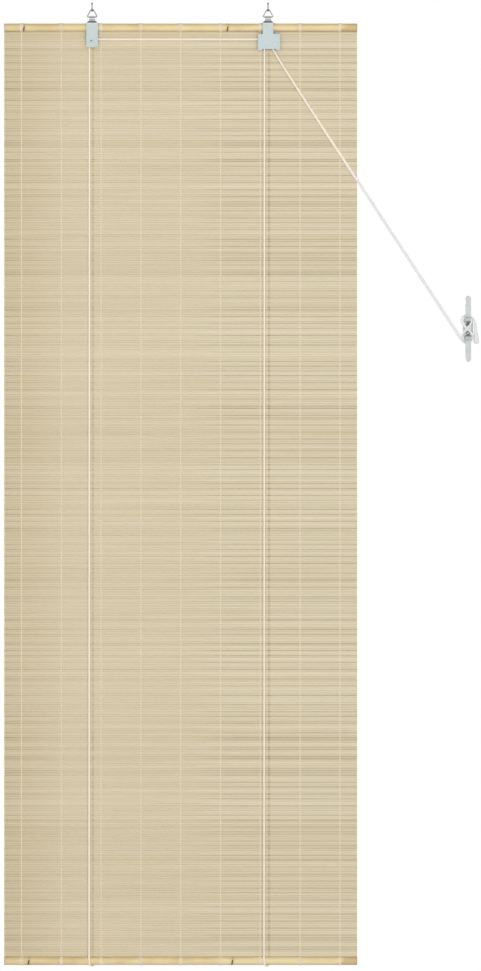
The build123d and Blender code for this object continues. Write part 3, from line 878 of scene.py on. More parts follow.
def tube_patch(
    path: Array,
    radius: Array | float,
    sides: int,
    reference: Point,
    closed: bool = False,
    squash: float = 1.0,
) -> Patch:
    """Carry a ring along a path: a point is the path plus radius times cos a to one side and sin a across.

    The side is the path's direction crossed with a fixed reference, and across is the side crossed with it.

    Args:
        path: Points as [row, xyz] or [copy, row, xyz].
        radius: One radius, or radii as [row, side].
        sides: The corners of a ring.
        reference: A direction that the path never takes.
        closed: Whether the path closes on itself.
        squash: The size to the side as a share of that across.

    Returns:
        The tube, capped if it is open; its u is the run in metres and its v the turn from 0 to 1.
    """
    lines = path if path.ndim == 3 else path[None]
    if closed:
        along = unit(np.roll(lines, -1, 1) - np.roll(lines, 1, 1))
    else:
        along = unit(np.gradient(lines, axis=1))
    side = unit(np.cross(along, np.array(reference)))
    across = np.cross(side, along)
    angle = np.arange(sides) * (2 * math.pi / sides)
    ring = side[:, :, None] * (squash * np.cos(angle))[:, None] + across[:, :, None] * np.sin(angle)[:, None]
    points = lines[:, :, None] + np.broadcast_to(radius, ring.shape[1:3])[..., None] * ring
    ends = np.concatenate([lines[0], lines[0, :1]]) if closed else lines[0]
    run = np.concatenate([[0.0], np.cumsum(np.linalg.norm(np.diff(ends, axis=0), axis=1))])
    return surface_patch(points, run, np.linspace(0, 1, sides + 1), closed, True, not closed)


def lathe_patch(profile: Array, sides: int, swell: Array | float = 1.0) -> Patch:
    """Turn a profile about Z: a point is radius times cos and sin of the turn, and height.

    Args:
        profile: Rows of radius and height, which start and end on the axis.
        sides: The number of columns.
        swell: A factor on the radius for each row and column.

    Returns:
        The turned surface, closed by its two poles.
    """
    angle = np.arange(sides) * (2 * math.pi / sides)
    radius = profile[:, :1] * np.broadcast_to(swell, (len(profile), sides))
    height = np.broadcast_to(profile[:, 1:], radius.shape)
    points = np.stack([radius * np.cos(angle), radius * np.sin(angle), height], -1)
    run = np.concatenate([[0.0], np.cumsum(np.linalg.norm(np.diff(profile, axis=0), axis=1))])
    return surface_patch(points, run, np.linspace(0, 1, sides + 1))


def rounded_corners(corners: Array, radii: Array, steps: int) -> Array:
    """Arcs at the corners of a closed outline, each swept between its two tangent points about its centre.

    The centre lies on the corner's bisector, at the radius over the sine of half the corner's angle.

    Args:
        corners: The outline's corners as [corner, xyz].
        radii: The radius at each corner.
        steps: The points on each arc.

    Returns:
        The arcs as [corner, step, xyz].
    """
    before = unit(np.roll(corners, 1, 0) - corners)
    after = unit(np.roll(corners, -1, 0) - corners)
    middle = unit(before + after)
    half = np.arccos(np.sum(middle * after, 1))
    centre = corners + middle * (radii / np.sin(half))[:, None]
    reach = (radii / np.tan(half))[:, None]
    first = (corners + before * reach - centre)[:, None]
    last = (corners + after * reach - centre)[:, None]
    turn = (math.pi - 2 * half)[:, None, None]
    share = np.linspace(0, 1, steps)[None, :, None]
    return centre[:, None] + (np.sin((1 - share) * turn) * first + np.sin(share * turn) * last) / np.sin(turn)


def smooth_line(name: str, route: Sequence[Point], resolution: int) -> Array:
    """Read the line of a NURBS spline through a cord's route.

    Args:
        name: A name for the spline.
        route: Its control points.
        resolution: The points between two control points.

    Returns:
        The line's points.
    """
    curve = bpy.data.curves.new(name, "CURVE")
    curve.dimensions = "3D"
    spline = curve.splines.new("NURBS")
    spline.points.add(len(route) - 1)
    spline.points.foreach_set("co", np.c_[np.array(route), np.ones(len(route))].ravel())
    spline.order_u = 3
    spline.use_endpoint_u = True
    spline.resolution_u = resolution
    holder = bpy.data.objects.new(name, curve)
    bpy.context.scene.collection.objects.link(holder)
    mesh = bpy.data.meshes.new_from_object(holder)
    line = np.empty(3 * len(mesh.vertices))
    mesh.vertices.foreach_get("co", line)
    bpy.data.objects.remove(holder)
    bpy.data.curves.remove(curve)
    bpy.data.meshes.remove(mesh)
    return line.reshape(-1, 3)


@dataclass
class SlatMat:
    """The mat of split bamboo slats, and the pairs of warp threads that cross between them."""

    top: float = -0.0373
    bottom: float = -1.6078
    half_thickness: float = 0.001
    count: int = 393
    stations: int = 7
    ragged: float = 0.0003
    swing_span: Span = (0.00002, 0.0001)
    cycle_span: Span = (0.4, 1.3)
    proud_spread: float = 0.00006
    proud_limit: float = 0.00012
    lean_spread: float = 0.03
    dark_gap_runs: tuple[int, ...] = (1, 2, 2, 3, 3, 3, 4)
    faint_gap_shades: Span = (0.0, 0.3)
    dark_gap_shades: Span = (0.6, 1.0)
    rail_gap_shade: float = 1.3
    tone_limit: float = 2.0
    seed: int = 11
    section_y: tuple[float, ...] = (0.88, 0.80, 0.05, -0.72, -0.88, -0.88, -0.72, 0.05, 0.80, 0.88)
    section_z: tuple[float, ...] = (0.55, 0.90, 0.998, 0.95, 0.66, -0.66, -0.95, -0.998, -0.90, -0.55)
    section_crevice_shade: tuple[float, ...] = (0.0, 0.6, 1.0, 0.8, 0.25, 0.25, 0.8, 1.0, 0.6, 0.0)
    thin_slats: tuple[tuple[float, float, float, float], ...] = (
        (-0.0359, -0.0373, LAYOUT.left, -0.1615),
        (-0.0359, -0.0373, -0.1375, 0.1375),
        (-0.0359, -0.0373, 0.1615, LAYOUT.right),
        (-1.6078, -1.6085, LAYOUT.left, LAYOUT.right),
    )
    warp_steps: tuple[float, ...] = (0.0, 0.1, 0.5, 0.9)
    warp_stands: tuple[float, ...] = (0.0, 0.9, 1.0, 0.9)
    thread_half_width: float = 0.0009
    thread_half_thickness: float = 0.00022
    thread_offset: float = 0.0003
    thread_stand: float = 0.00112
    thread_reach: float = 0.0008
    thread_end: float = 0.0002

    def slats(self) -> bpy.types.Object:
        """Slats as one section of ten corners carried along X, with a thin slat against each rail.

        A slat's line wanders in Z by a slow sine and stands proud by its own small amount; its corners are
        the section times half its height and half the thickness. The edge value is the strength of painted
        shade, which grows into the crevice by a strength that each gap draws for itself: one gap in two or
        three gets dark painted shade. The thin slats beside the rails take a strength beyond the darkest
        gap's, as painted shade between rail and mat.

        Returns:
            The slats.
        """
        draw = np.random.default_rng(self.seed)
        pitch = (self.top - self.bottom) / self.count
        thin = np.array(self.thin_slats)
        total = self.count + len(thin)
        middle_z = np.append(self.top - (np.arange(self.count) + 0.5) * pitch, (thin[:, 0] + thin[:, 1]) / 2)
        half = np.append(np.full(self.count, pitch / 2), (thin[:, 0] - thin[:, 1]) / 2)
        share = np.linspace(0, 1, self.stations)
        start = np.append(np.full(self.count, LAYOUT.left), thin[:, 2]) + draw.uniform(0, self.ragged, total)
        end = np.append(np.full(self.count, LAYOUT.right), thin[:, 3]) - draw.uniform(0, self.ragged, total)
        x = start[:, None] + (end - start)[:, None] * share
        swing = (draw.uniform(*self.swing_span, total) * half / half[0])[:, None]
        cycles = draw.uniform(*self.cycle_span, total)[:, None]
        phase = draw.uniform(0, 1, total)[:, None]
        wander = swing * np.sin(2 * math.pi * (share * cycles + phase))
        stand = np.clip(draw.normal(0, self.proud_spread, total), -self.proud_limit, self.proud_limit)
        proud = stand[:, None] + 0.6 * wander
        lean = draw.normal(0, self.lean_spread, total)
        depth = np.array(self.section_y) * self.half_thickness
        rise = np.array(self.section_z) * half[:, None]
        y = LAYOUT.hang_y + proud[:, :, None] + depth + (lean[:, None] * rise)[:, None]
        z = (middle_z[:, None] + wander)[:, :, None] + rise[:, None]
        points = np.stack([np.broadcast_to(x[:, :, None], z.shape), np.broadcast_to(y, z.shape), z], -1)
        # painted shade strengths for the gaps: dark ones in runs, faint ones between, and a stronger one for
        # the thin slats beside the rails
        dark_gaps = np.cumsum(draw.choice(self.dark_gap_runs, self.count))
        dark_gaps = dark_gaps[dark_gaps < self.count]
        gaps = draw.uniform(*self.faint_gap_shades, self.count + 1)
        gaps[dark_gaps] = draw.uniform(*self.dark_gap_shades, len(dark_gaps))
        beside = np.full(len(thin), self.rail_gap_shade)
        above = np.append(gaps[:-1], beside)
        below = np.append(gaps[1:], beside)
        strength = np.where(np.array(self.section_z) > 0, above[:, None], below[:, None])
        edge = (np.array(self.section_crevice_shade) * (0.15 + 0.85 * strength))[:, None]
        tone = np.clip(draw.normal(0, 1.0, total), -self.tone_limit, self.tone_limit)[:, None, None]
        kept = {"slat_edge": edge, "slat_tone": tone}
        v = np.linspace(0, 1, len(self.section_y) + 1)
        patch = surface_patch(points, share * (LAYOUT.right - LAYOUT.left), v, capped=True, kept=kept)
        return make_piece("bamboo_slats", [patch], 60.0)

    def warp(self, name: str, phase: Phase) -> bpy.types.Object:
        """One thread of each warp pair: it stands in front of every second slat and behind the others.

        Across a slat the stand rises from the middle at the gap to nearly all, and falls again, with a sign
        that changes from slat to slat.

        Args:
            name: The piece's name.
            phase: Which slats it passes in front of.

        Returns:
            The threads of all columns.
        """
        pitch = (self.top - self.bottom) / self.count
        slat = np.repeat(np.arange(self.count), len(self.warp_steps))
        step = np.tile(self.warp_steps, self.count)
        stand = np.tile(self.warp_stands, self.count)
        sign = np.where(slat % 2 == 0, -phase.value, phase.value)
        foot = [self.bottom, self.bottom - self.thread_end]
        z = np.concatenate([[self.top + self.thread_reach], self.top - (slat + step) * pitch, foot])
        y = LAYOUT.hang_y + np.concatenate([[0.0], sign * stand * self.thread_stand, [0.0, 0.0]])
        x = LAYOUT.warp_places()[:, None] + phase.value * self.thread_offset + 0.0 * z
        path = np.stack([x, np.broadcast_to(y, x.shape), np.broadcast_to(z, x.shape)], -1)
        share = self.thread_half_thickness / self.thread_half_width
        patch = tube_patch(path, self.thread_half_width, 4, (1.0, 0.0, 0.0), squash=share)
        return make_piece(name, [patch], 80.0)

    def build(self, yarn: bpy.types.Material) -> None:
        """Make the slats and both sets of warp threads and dress them."""
        dress(self.slats(), SlatFinish().material(), Body.BLIND, ["slat_mat"])
        dress(self.warp("warp_threads_odd", Phase.ODD), yarn, Body.BLIND, ["warp_threads_front"])
        dress(self.warp("warp_threads_even", Phase.EVEN), yarn, Body.BLIND, ["warp_threads_back"])


@dataclass
class CaneRail:
    """A hollow bamboo cane with two nodes, and the yarn bound round it at each warp."""

    name: str
    node: str
    axis_z: float
    nodes: Span
    seed: int
    radius: float
    edge_shades: Span
    tilt: float
    bore: float = 0.003
    bore_rows: int = 12
    end_inset: float = 0.0006
    end_ease: float = 0.0005
    span_rows: int = 61
    node_rows: int = 45
    node_reach: float = 0.011
    ridge: float = 0.00032
    ridge_half_width: float = 0.004
    groove: float = 0.0004
    groove_half_width: float = 0.0008
    groove_shift: float = 0.0012
    ripple: float = 0.00004
    ripple_rates: Span = (6.0, 9.0)
    skin_limit: float = 0.0002
    oval: float = 0.006
    sides: int = 40
    yarn_radius: float = 0.0003
    yarn_sides: int = 5
    bound_gap: float = 0.00048
    bound_widths: Span = (0.0046, 0.0066)
    clip_width: float = 0.0044
    wobble: float = 0.00012
    slack: float = 0.00006
    turns: int = 10
    turn_steps: int = 18
    clip_columns: tuple[int, int] = (-2, 2)

    def cane(self) -> bpy.types.Object:
        """Turn a closed profile about X.

        The skin's radius is the span's plus a bell-shaped ridge at each node less a narrow bell-shaped groove
        beside it, with a slow ripple; the bore runs back inside.

        Returns:
            The cane.
        """
        draw = np.random.default_rng(self.seed)
        near = np.linspace(-self.node_reach, self.node_reach, self.node_rows)
        span = np.linspace(LAYOUT.left + self.end_inset, LAYOUT.right - self.end_inset, self.span_rows)
        x = np.unique(np.round(np.concatenate([span] + [node + near for node in self.nodes]), 6))
        off = x[:, None] - np.array(self.nodes)
        ridge = self.ridge * np.exp(-((off / self.ridge_half_width) ** 2))
        groove = self.groove * np.exp(-(((off - self.groove_shift) / self.groove_half_width) ** 2))
        ripple = self.ripple * np.sin(2 * math.pi * (x * draw.uniform(*self.ripple_rates) + draw.uniform()))
        skin = np.minimum(self.radius + (ridge - groove).sum(1) + ripple, self.radius + self.skin_limit)
        inner = np.linspace(LAYOUT.right, LAYOUT.left, self.bore_rows)
        along = np.concatenate([[LAYOUT.left], x, [LAYOUT.right], inner])
        end = [self.radius - self.end_ease]
        radius = np.concatenate([end, skin, end, np.full(self.bore_rows, self.bore)])
        angle = np.arange(self.sides) * (2 * math.pi / self.sides)
        turn = radius[:, None] * (1 + self.oval * np.cos(2 * angle + 4.0 * along[:, None]))
        points = np.stack(
            [
                np.broadcast_to(along[:, None], turn.shape),
                LAYOUT.hang_y + turn * np.cos(angle),
                self.axis_z + turn * np.sin(angle),
            ],
            -1,
        )
        run = np.concatenate([along, along[:1]])
        v = np.linspace(0, 1, self.sides + 1)
        return make_piece(self.name, [surface_patch(points, run, v, closed_u=True)], 50.0)

    def binding(self, name: str) -> bpy.types.Object:
        """Wind yarn round the cane at each warp: a helix about X whose width each warp draws for itself.

        Beside the brackets the helix is narrower, so that it clears their clips.

        Args:
            name: The piece's name.

        Returns:
            The turns of all warps.
        """
        draw = np.random.default_rng(self.seed + 5)
        number = LAYOUT.warp_numbers()
        drawn = draw.uniform(*self.bound_widths, len(number))
        width = np.where(np.isin(number, self.clip_columns), self.clip_width, drawn)
        share = np.linspace(0, 1, self.turns * self.turn_steps)
        turn = 2 * math.pi * self.turns * share + draw.uniform(0, 6, len(number))[:, None]
        wobble = self.wobble * np.sin(turn * 0.37 + draw.uniform(0, 6, len(number))[:, None])
        x = LAYOUT.warp_places()[:, None] + (share - 0.5) * width[:, None] + wobble
        radius = self.radius + self.bound_gap + self.slack * np.sin(5 * turn * 0.21)
        y = LAYOUT.hang_y + radius * np.cos(turn)
        z = self.axis_z + radius * np.sin(turn)
        patch = tube_patch(np.stack([x, y, z], -1), self.yarn_radius, self.yarn_sides, (1.0, 0.0, 0.0))
        return make_piece(name, [patch], 80.0)

    def build(self, yarn: bpy.types.Material) -> None:
        """Make the cane and its bindings and dress them."""
        finish = CaneFinish(self.name + "_skin", self.nodes, self.axis_z, self.radius, self.edge_shades, self.tilt)
        dress(self.cane(), finish.material(), Body.BLIND, [self.node])
        dress(self.binding(self.name + "_binding"), yarn, Body.BLIND, [self.node + "_lashings"])


@dataclass
class EasedPart:
    """A hardware part that keeps its CAD shape, with its sharp edges eased."""

    node: str
    slot: str
    body: Body
    ease: float
    segments: int = 2
    crease: float = 32.0

    def build(self, nodes: dict[str, bpy.types.Object], material: bpy.types.Material) -> bpy.types.Object:
        """Copy the node's mesh, merge it, join its flat triangles and bevel its edges.

        Args:
            nodes: The frame's CAD nodes.
            material: The part's finish.

        Returns:
            The eased part.
        """
        mesh = nodes[self.node].data.copy()
        close_mesh(mesh, self.crease, True)
        piece = bpy.data.objects.new(self.node + "_eased", mesh)
        bpy.context.scene.collection.objects.link(piece)
        bevel = piece.modifiers.new("eased_edges", "BEVEL")
        bevel.width = self.ease
        bevel.segments = self.segments
        bevel.limit_method = "ANGLE"
        bevel.angle_limit = math.radians(self.crease)
        return dress(piece, material, self.body, [self.node])


@dataclass
class Hangers:
    """The two triangular rings of wire and the two square-bend screw hooks."""

    places: Span = (-0.1495, 0.1495)
    bend_steps: int = 12
    ring_wire: float = 0.001
    ring_sides: int = 14
    ring_base: float = -0.0114
    ring_half_width: float = 0.0088
    ring_apex: float = 0.004883
    ring_corner: float = 0.00135
    ring_top: float = 0.0032
    hook_wire: float = 0.00122
    hook_sides: int = 16
    hook_reach: float = -0.0202
    hook_bend: float = 0.003
    hook_sag: float = -0.0012
    hook_height: float = 0.0131
    cap_rows: int = 6
    cap_least: float = 0.02
    shank_rows: tuple[float, ...] = (0.0015, -0.0005, -0.006, -0.012)
    screw_start: float = 0.002
    screw_tip: float = 0.022
    screw_rows: int = 150
    thread_pitch: float = 0.0016
    thread_depth: float = 0.0003
    thread_fade: float = 0.002
    tip_taper: float = 0.005
    tip_least: float = 0.12

    def rings(self) -> bpy.types.Object:
        """Carry round wire along a triangle with rounded corners, closed at its base.

        Returns:
            The rings.
        """
        corners = np.array(
            [
                (self.ring_half_width, 0.0, self.ring_base),
                (0.0, 0.0, self.ring_apex),
                (-self.ring_half_width, 0.0, self.ring_base),
            ]
        )
        radii = np.array([self.ring_corner, self.ring_top, self.ring_corner])
        line = rounded_corners(corners, radii, self.bend_steps).reshape(-1, 3)
        shifts = np.array([(place, LAYOUT.hang_y, 0.0) for place in self.places])
        lines = line[None] + shifts[:, None]
        patch = tube_patch(lines, self.ring_wire, self.ring_sides, (0.0, 1.0, 0.0), closed=True)
        return make_piece("wire_rings", [patch], 60.0)

    def hooks(self) -> bpy.types.Object:
        """Carry round wire from the screw's tip to the arm's rounded top; the load has bent it down a little.

        In the wall the radius is the wire's less a groove that follows a helix, tapering to the tip; the
        arm's last rows shrink as a quarter circle.

        Returns:
            The hooks.
        """
        bend = np.array((0.0, self.hook_reach, self.hook_sag))
        top = np.array((0.0, self.hook_reach, self.hook_height))
        root = np.array((0.0, 0.0, 0.0))
        arc = rounded_corners(np.array([root, bend, top]), np.full(3, self.hook_bend), self.bend_steps)[1]
        screw_y = np.linspace(self.screw_tip, self.screw_start, self.screw_rows)
        screw = np.stack([0 * screw_y, screw_y, 0 * screw_y], -1)
        shank_y = np.array(self.shank_rows)
        slope = np.clip(shank_y / self.hook_reach, 0, 1) * self.hook_sag
        shank = np.stack([0 * shank_y, shank_y, slope], -1)
        quarter = np.linspace(0, math.pi / 2, self.cap_rows)
        ending = top + (np.sin(quarter)[:, None] - 1) * np.array((0.0, 0.0, self.hook_wire))
        line = np.concatenate([screw, shank, arc, ending])
        radius = np.full(len(line), self.hook_wire)
        radius[-self.cap_rows :] = self.hook_wire * np.maximum(np.cos(quarter), self.cap_least)
        angle = np.arange(self.hook_sides) * (2 * math.pi / self.hook_sides)
        helix = 0.5 + 0.5 * np.cos(angle - 2 * math.pi * screw_y[:, None] / self.thread_pitch)
        fade = np.clip((screw_y - self.screw_start) / self.thread_fade, 0, 1)[:, None]
        taper = np.clip((self.screw_tip - screw_y) / self.tip_taper + self.tip_least, 0, 1)[:, None]
        radii = np.broadcast_to(radius[:, None], (len(line), self.hook_sides)).copy()
        radii[: self.screw_rows] = (self.hook_wire - fade * self.thread_depth * helix) * taper
        shifts = np.array([(place, 0.0, 0.0) for place in self.places])
        patch = tube_patch(line[None] + shifts[:, None], radii, self.hook_sides, (1.0, 0.0, 0.0))
        return make_piece("square_bend_hooks", [patch], 50.0)

    def build(self) -> None:
        """Make the rings and hooks and dress them."""
        ring_steel = SteelFinish("ring_steel", srgb(152, 152, 152), srgb(128, 128, 128), 0.36).material()
        dress(self.rings(), ring_steel, Body.WALL, ["hanging_rings"])
        dress(self.hooks(), HookFinish().material(), Body.WALL, ["screw_hooks"])


@dataclass
class AxleRivets:
    """The two semi-tubular rivets that hold the pulleys in their boxes."""

    places: tuple[Point, Point] = (LAYOUT.left_axle, LAYOUT.lock_axle)
    front: float = -0.0257
    rear: float = -0.0167
    head_radius: float = 0.0024
    head_height: float = 0.0005
    shank_radius: float = 0.0013
    hollow_radii: Span = (0.0019, 0.0011)
    hollow_depths: Span = (0.0013, 0.0003)
    hollow_shades: Span = (1.0, 0.12)
    bowl_rows: int = 12
    bowl_power: float = 2.2
    rim_rows: int = 7
    lip: float = 0.0002
    shade_share: float = 0.2
    sides: int = 40

    def rivet(self, place: Point, radius: float, depth: float, shade: float) -> Patch:
        """Turn a head with a hollow, a shank and a flat rear head about Y.

        The hollow's floor dips from its rim as a raised cosine of the radius, and the head's edge is a
        quarter of an ellipse.

        Args:
            place: The rivet's axis.
            radius: The hollow's radius.
            depth: The hollow's depth.
            shade: How strong the painted shade in the hollow is.

        Returns:
            The rivet.
        """
        share = np.linspace(0, 1, self.bowl_rows)
        top = self.front - self.head_height
        dip = depth * (0.5 + 0.5 * np.cos(math.pi * share**self.bowl_power))
        bowl = np.stack([radius * share, top + dip], -1)
        turn = np.linspace(0, math.pi / 2, self.rim_rows)
        edge = radius + self.lip + (self.head_radius - radius - self.lip) * np.sin(turn)
        rim = np.stack([edge, self.front - self.head_height * np.cos(turn)], -1)
        rear = self.rear + self.head_height
        rest = np.array(
            [
                (self.shank_radius, self.front),
                (self.shank_radius, self.rear),
                (self.head_radius, self.rear),
                (self.head_radius, rear - self.lip),
                (self.head_radius - self.lip, rear),
                (0.0, rear),
            ]
        )
        profile = np.concatenate([bowl, rim, rest])
        patch = lathe_patch(profile, self.sides)
        hollow = np.zeros(len(profile))
        floor = self.bowl_rows - 1
        # painted shade over the hollow's floor, fading out at its rim
        hollow[:floor] = shade * np.clip((1 - share[:floor]) / self.shade_share, 0, 1)
        patch.kept["hollow"] = np.repeat(hollow, self.sides)
        patch.points = patch.points[:, [0, 2, 1]] + np.array(place)
        return patch

    def build(self) -> None:
        """Make both rivets as one piece and dress it."""
        shapes = zip(self.places, self.hollow_radii, self.hollow_depths, self.hollow_shades)
        piece = make_piece("tubular_rivets", [self.rivet(*shape) for shape in shapes])
        dress(piece, RivetFinish().material(), Body.BLIND, ["axle_rivets"])


@dataclass
class CleatFittings:
    """The cleat's two screws and the tassel at the cords' end."""

    screw_pitch: float = 0.0152
    screw_sides: int = 48
    head_radius: float = 0.003
    head_top: float = -0.0063
    head_seat: float = -0.0045
    dome_rows: int = 16
    dome_drop: float = 0.0007
    dome_power: float = 2.4
    cross_half_width: float = 0.0005
    cross_slope: float = 0.00025
    cross_reach: float = 0.0021
    cross_fade: float = 0.0004
    cross_depth: float = 0.0008
    cross_floor: float = 0.0006
    shank_radius: float = 0.00165
    shank_end: float = 0.018
    screw_tip: float = 0.022
    tassel_top: Point = (0.5013, -0.0205, -0.5314)
    tassel_length: float = 0.0355
    tassel_lean: float = math.radians(3.7)
    tassel_sides: int = 40
    neck_radius: float = 0.0019
    bell_swell: float = 0.0025
    bound_swell: float = 0.00035
    foot_groove: float = 0.0005
    foot_start: float = 0.9
    foot_share: float = 0.1
    flutes: int = 10
    flute_share: float = 0.025

    def screws(self) -> bpy.types.Object:
        """Turn a domed head and a tapering shank about Y, with a cross pressed into the dome.

        The cross is as deep as an eased step of the distance from each of its two arms, near the middle.

        Returns:
            The two screws.
        """
        share = np.linspace(0, 1, self.dome_rows)
        drop = self.dome_drop * share**self.dome_power
        dome = np.stack([self.head_radius * share, self.head_top + drop], -1)
        rest = np.array(
            [
                (self.head_radius, self.head_seat),
                (self.shank_radius, self.head_seat),
                (self.shank_radius, self.shank_end),
                (0.0, self.screw_tip),
            ]
        )
        patch = lathe_patch(np.concatenate([dome, rest]), self.screw_sides)
        turned = patch.points.copy()
        arm = np.minimum(np.abs(turned[:, 0]), np.abs(turned[:, 1]))
        away = np.hypot(turned[:, 0], turned[:, 1])
        pressed = np.clip((self.cross_half_width - arm) / self.cross_slope, 0, 1)
        pressed = pressed * np.clip((self.cross_reach - away) / self.cross_fade, 0, 1)
        domed = turned[:, 2] < self.head_top + self.cross_floor
        turned[:, 2] += np.where(domed, self.cross_depth * pressed, 0)
        points = turned[:, [0, 2, 1]] + np.array(LAYOUT.cleat)
        halves = np.array([(0.0, 0.0, self.screw_pitch / 2), (0.0, 0.0, -self.screw_pitch / 2)])
        patches = [Patch(points + half, patch.faces, patch.uv) for half in halves]
        return make_piece("cleat_pan_screws", patches, 35.0)

    def tassel(self) -> bpy.types.Object:
        """Turn a slim bell about its leaning axis, with fine flutes for its strands and a bound neck.

        The radius grows from the neck by a raised cosine, is drawn in by a bell-shaped groove above the foot,
        and closes as an ellipse.

        Returns:
            The tassel.
        """
        closing = self.foot_start + self.foot_share * np.sin(np.linspace(0.12, math.pi / 2, 12))
        drop = np.concatenate([[0.0], np.linspace(0.0, self.foot_start, 60), closing])
        widening = 0.5 - 0.5 * np.cos(math.pi * np.clip((drop - 0.12) / 0.8, 0, 1))
        flare = self.neck_radius + self.bell_swell * widening
        neck = self.bound_swell * np.exp(-(((drop - 0.11) / 0.045) ** 4))
        bound = neck - self.foot_groove * np.exp(-(((drop - 0.79) / 0.03) ** 2))
        foot = np.sqrt(np.clip(1 - ((drop - self.foot_start) / self.foot_share) ** 2, 0, 1))
        radius = (flare + bound) * np.where(drop > self.foot_start, foot, 1.0)
        radius[0] = 0.0
        profile = np.stack([radius, -drop * self.tassel_length], -1)
        angle = np.arange(self.tassel_sides) * (2 * math.pi / self.tassel_sides)
        flute = np.clip((drop - 0.2) / 0.2, 0, 1)[:, None] * self.flute_share * np.cos(self.flutes * angle)
        patch = lathe_patch(profile, self.tassel_sides, 1 + flute)
        cos, sin = math.cos(self.tassel_lean), math.sin(self.tassel_lean)
        lean = np.array([[cos, 0.0, sin], [0.0, 1.0, 0.0], [-sin, 0.0, cos]])
        patch.points = patch.points @ lean + np.array(self.tassel_top)
        return make_piece("tassel_bell", [patch], 60.0)

    def build(self, yarn: bpy.types.Material) -> bpy.types.Object:
        """Make the screws and the tassel and dress them.

        Args:
            yarn: The tassel's finish.

        Returns:
            The tassel.
        """
        plate = ScrewFinish(LAYOUT.cleat[0], LAYOUT.cleat[2] - self.screw_pitch / 2).material()
        dress(self.screws(), plate, Body.WALL, ["cleat_screws"])
        return dress(self.tassel(), yarn, Body.WALL, ["cord_tassel"])


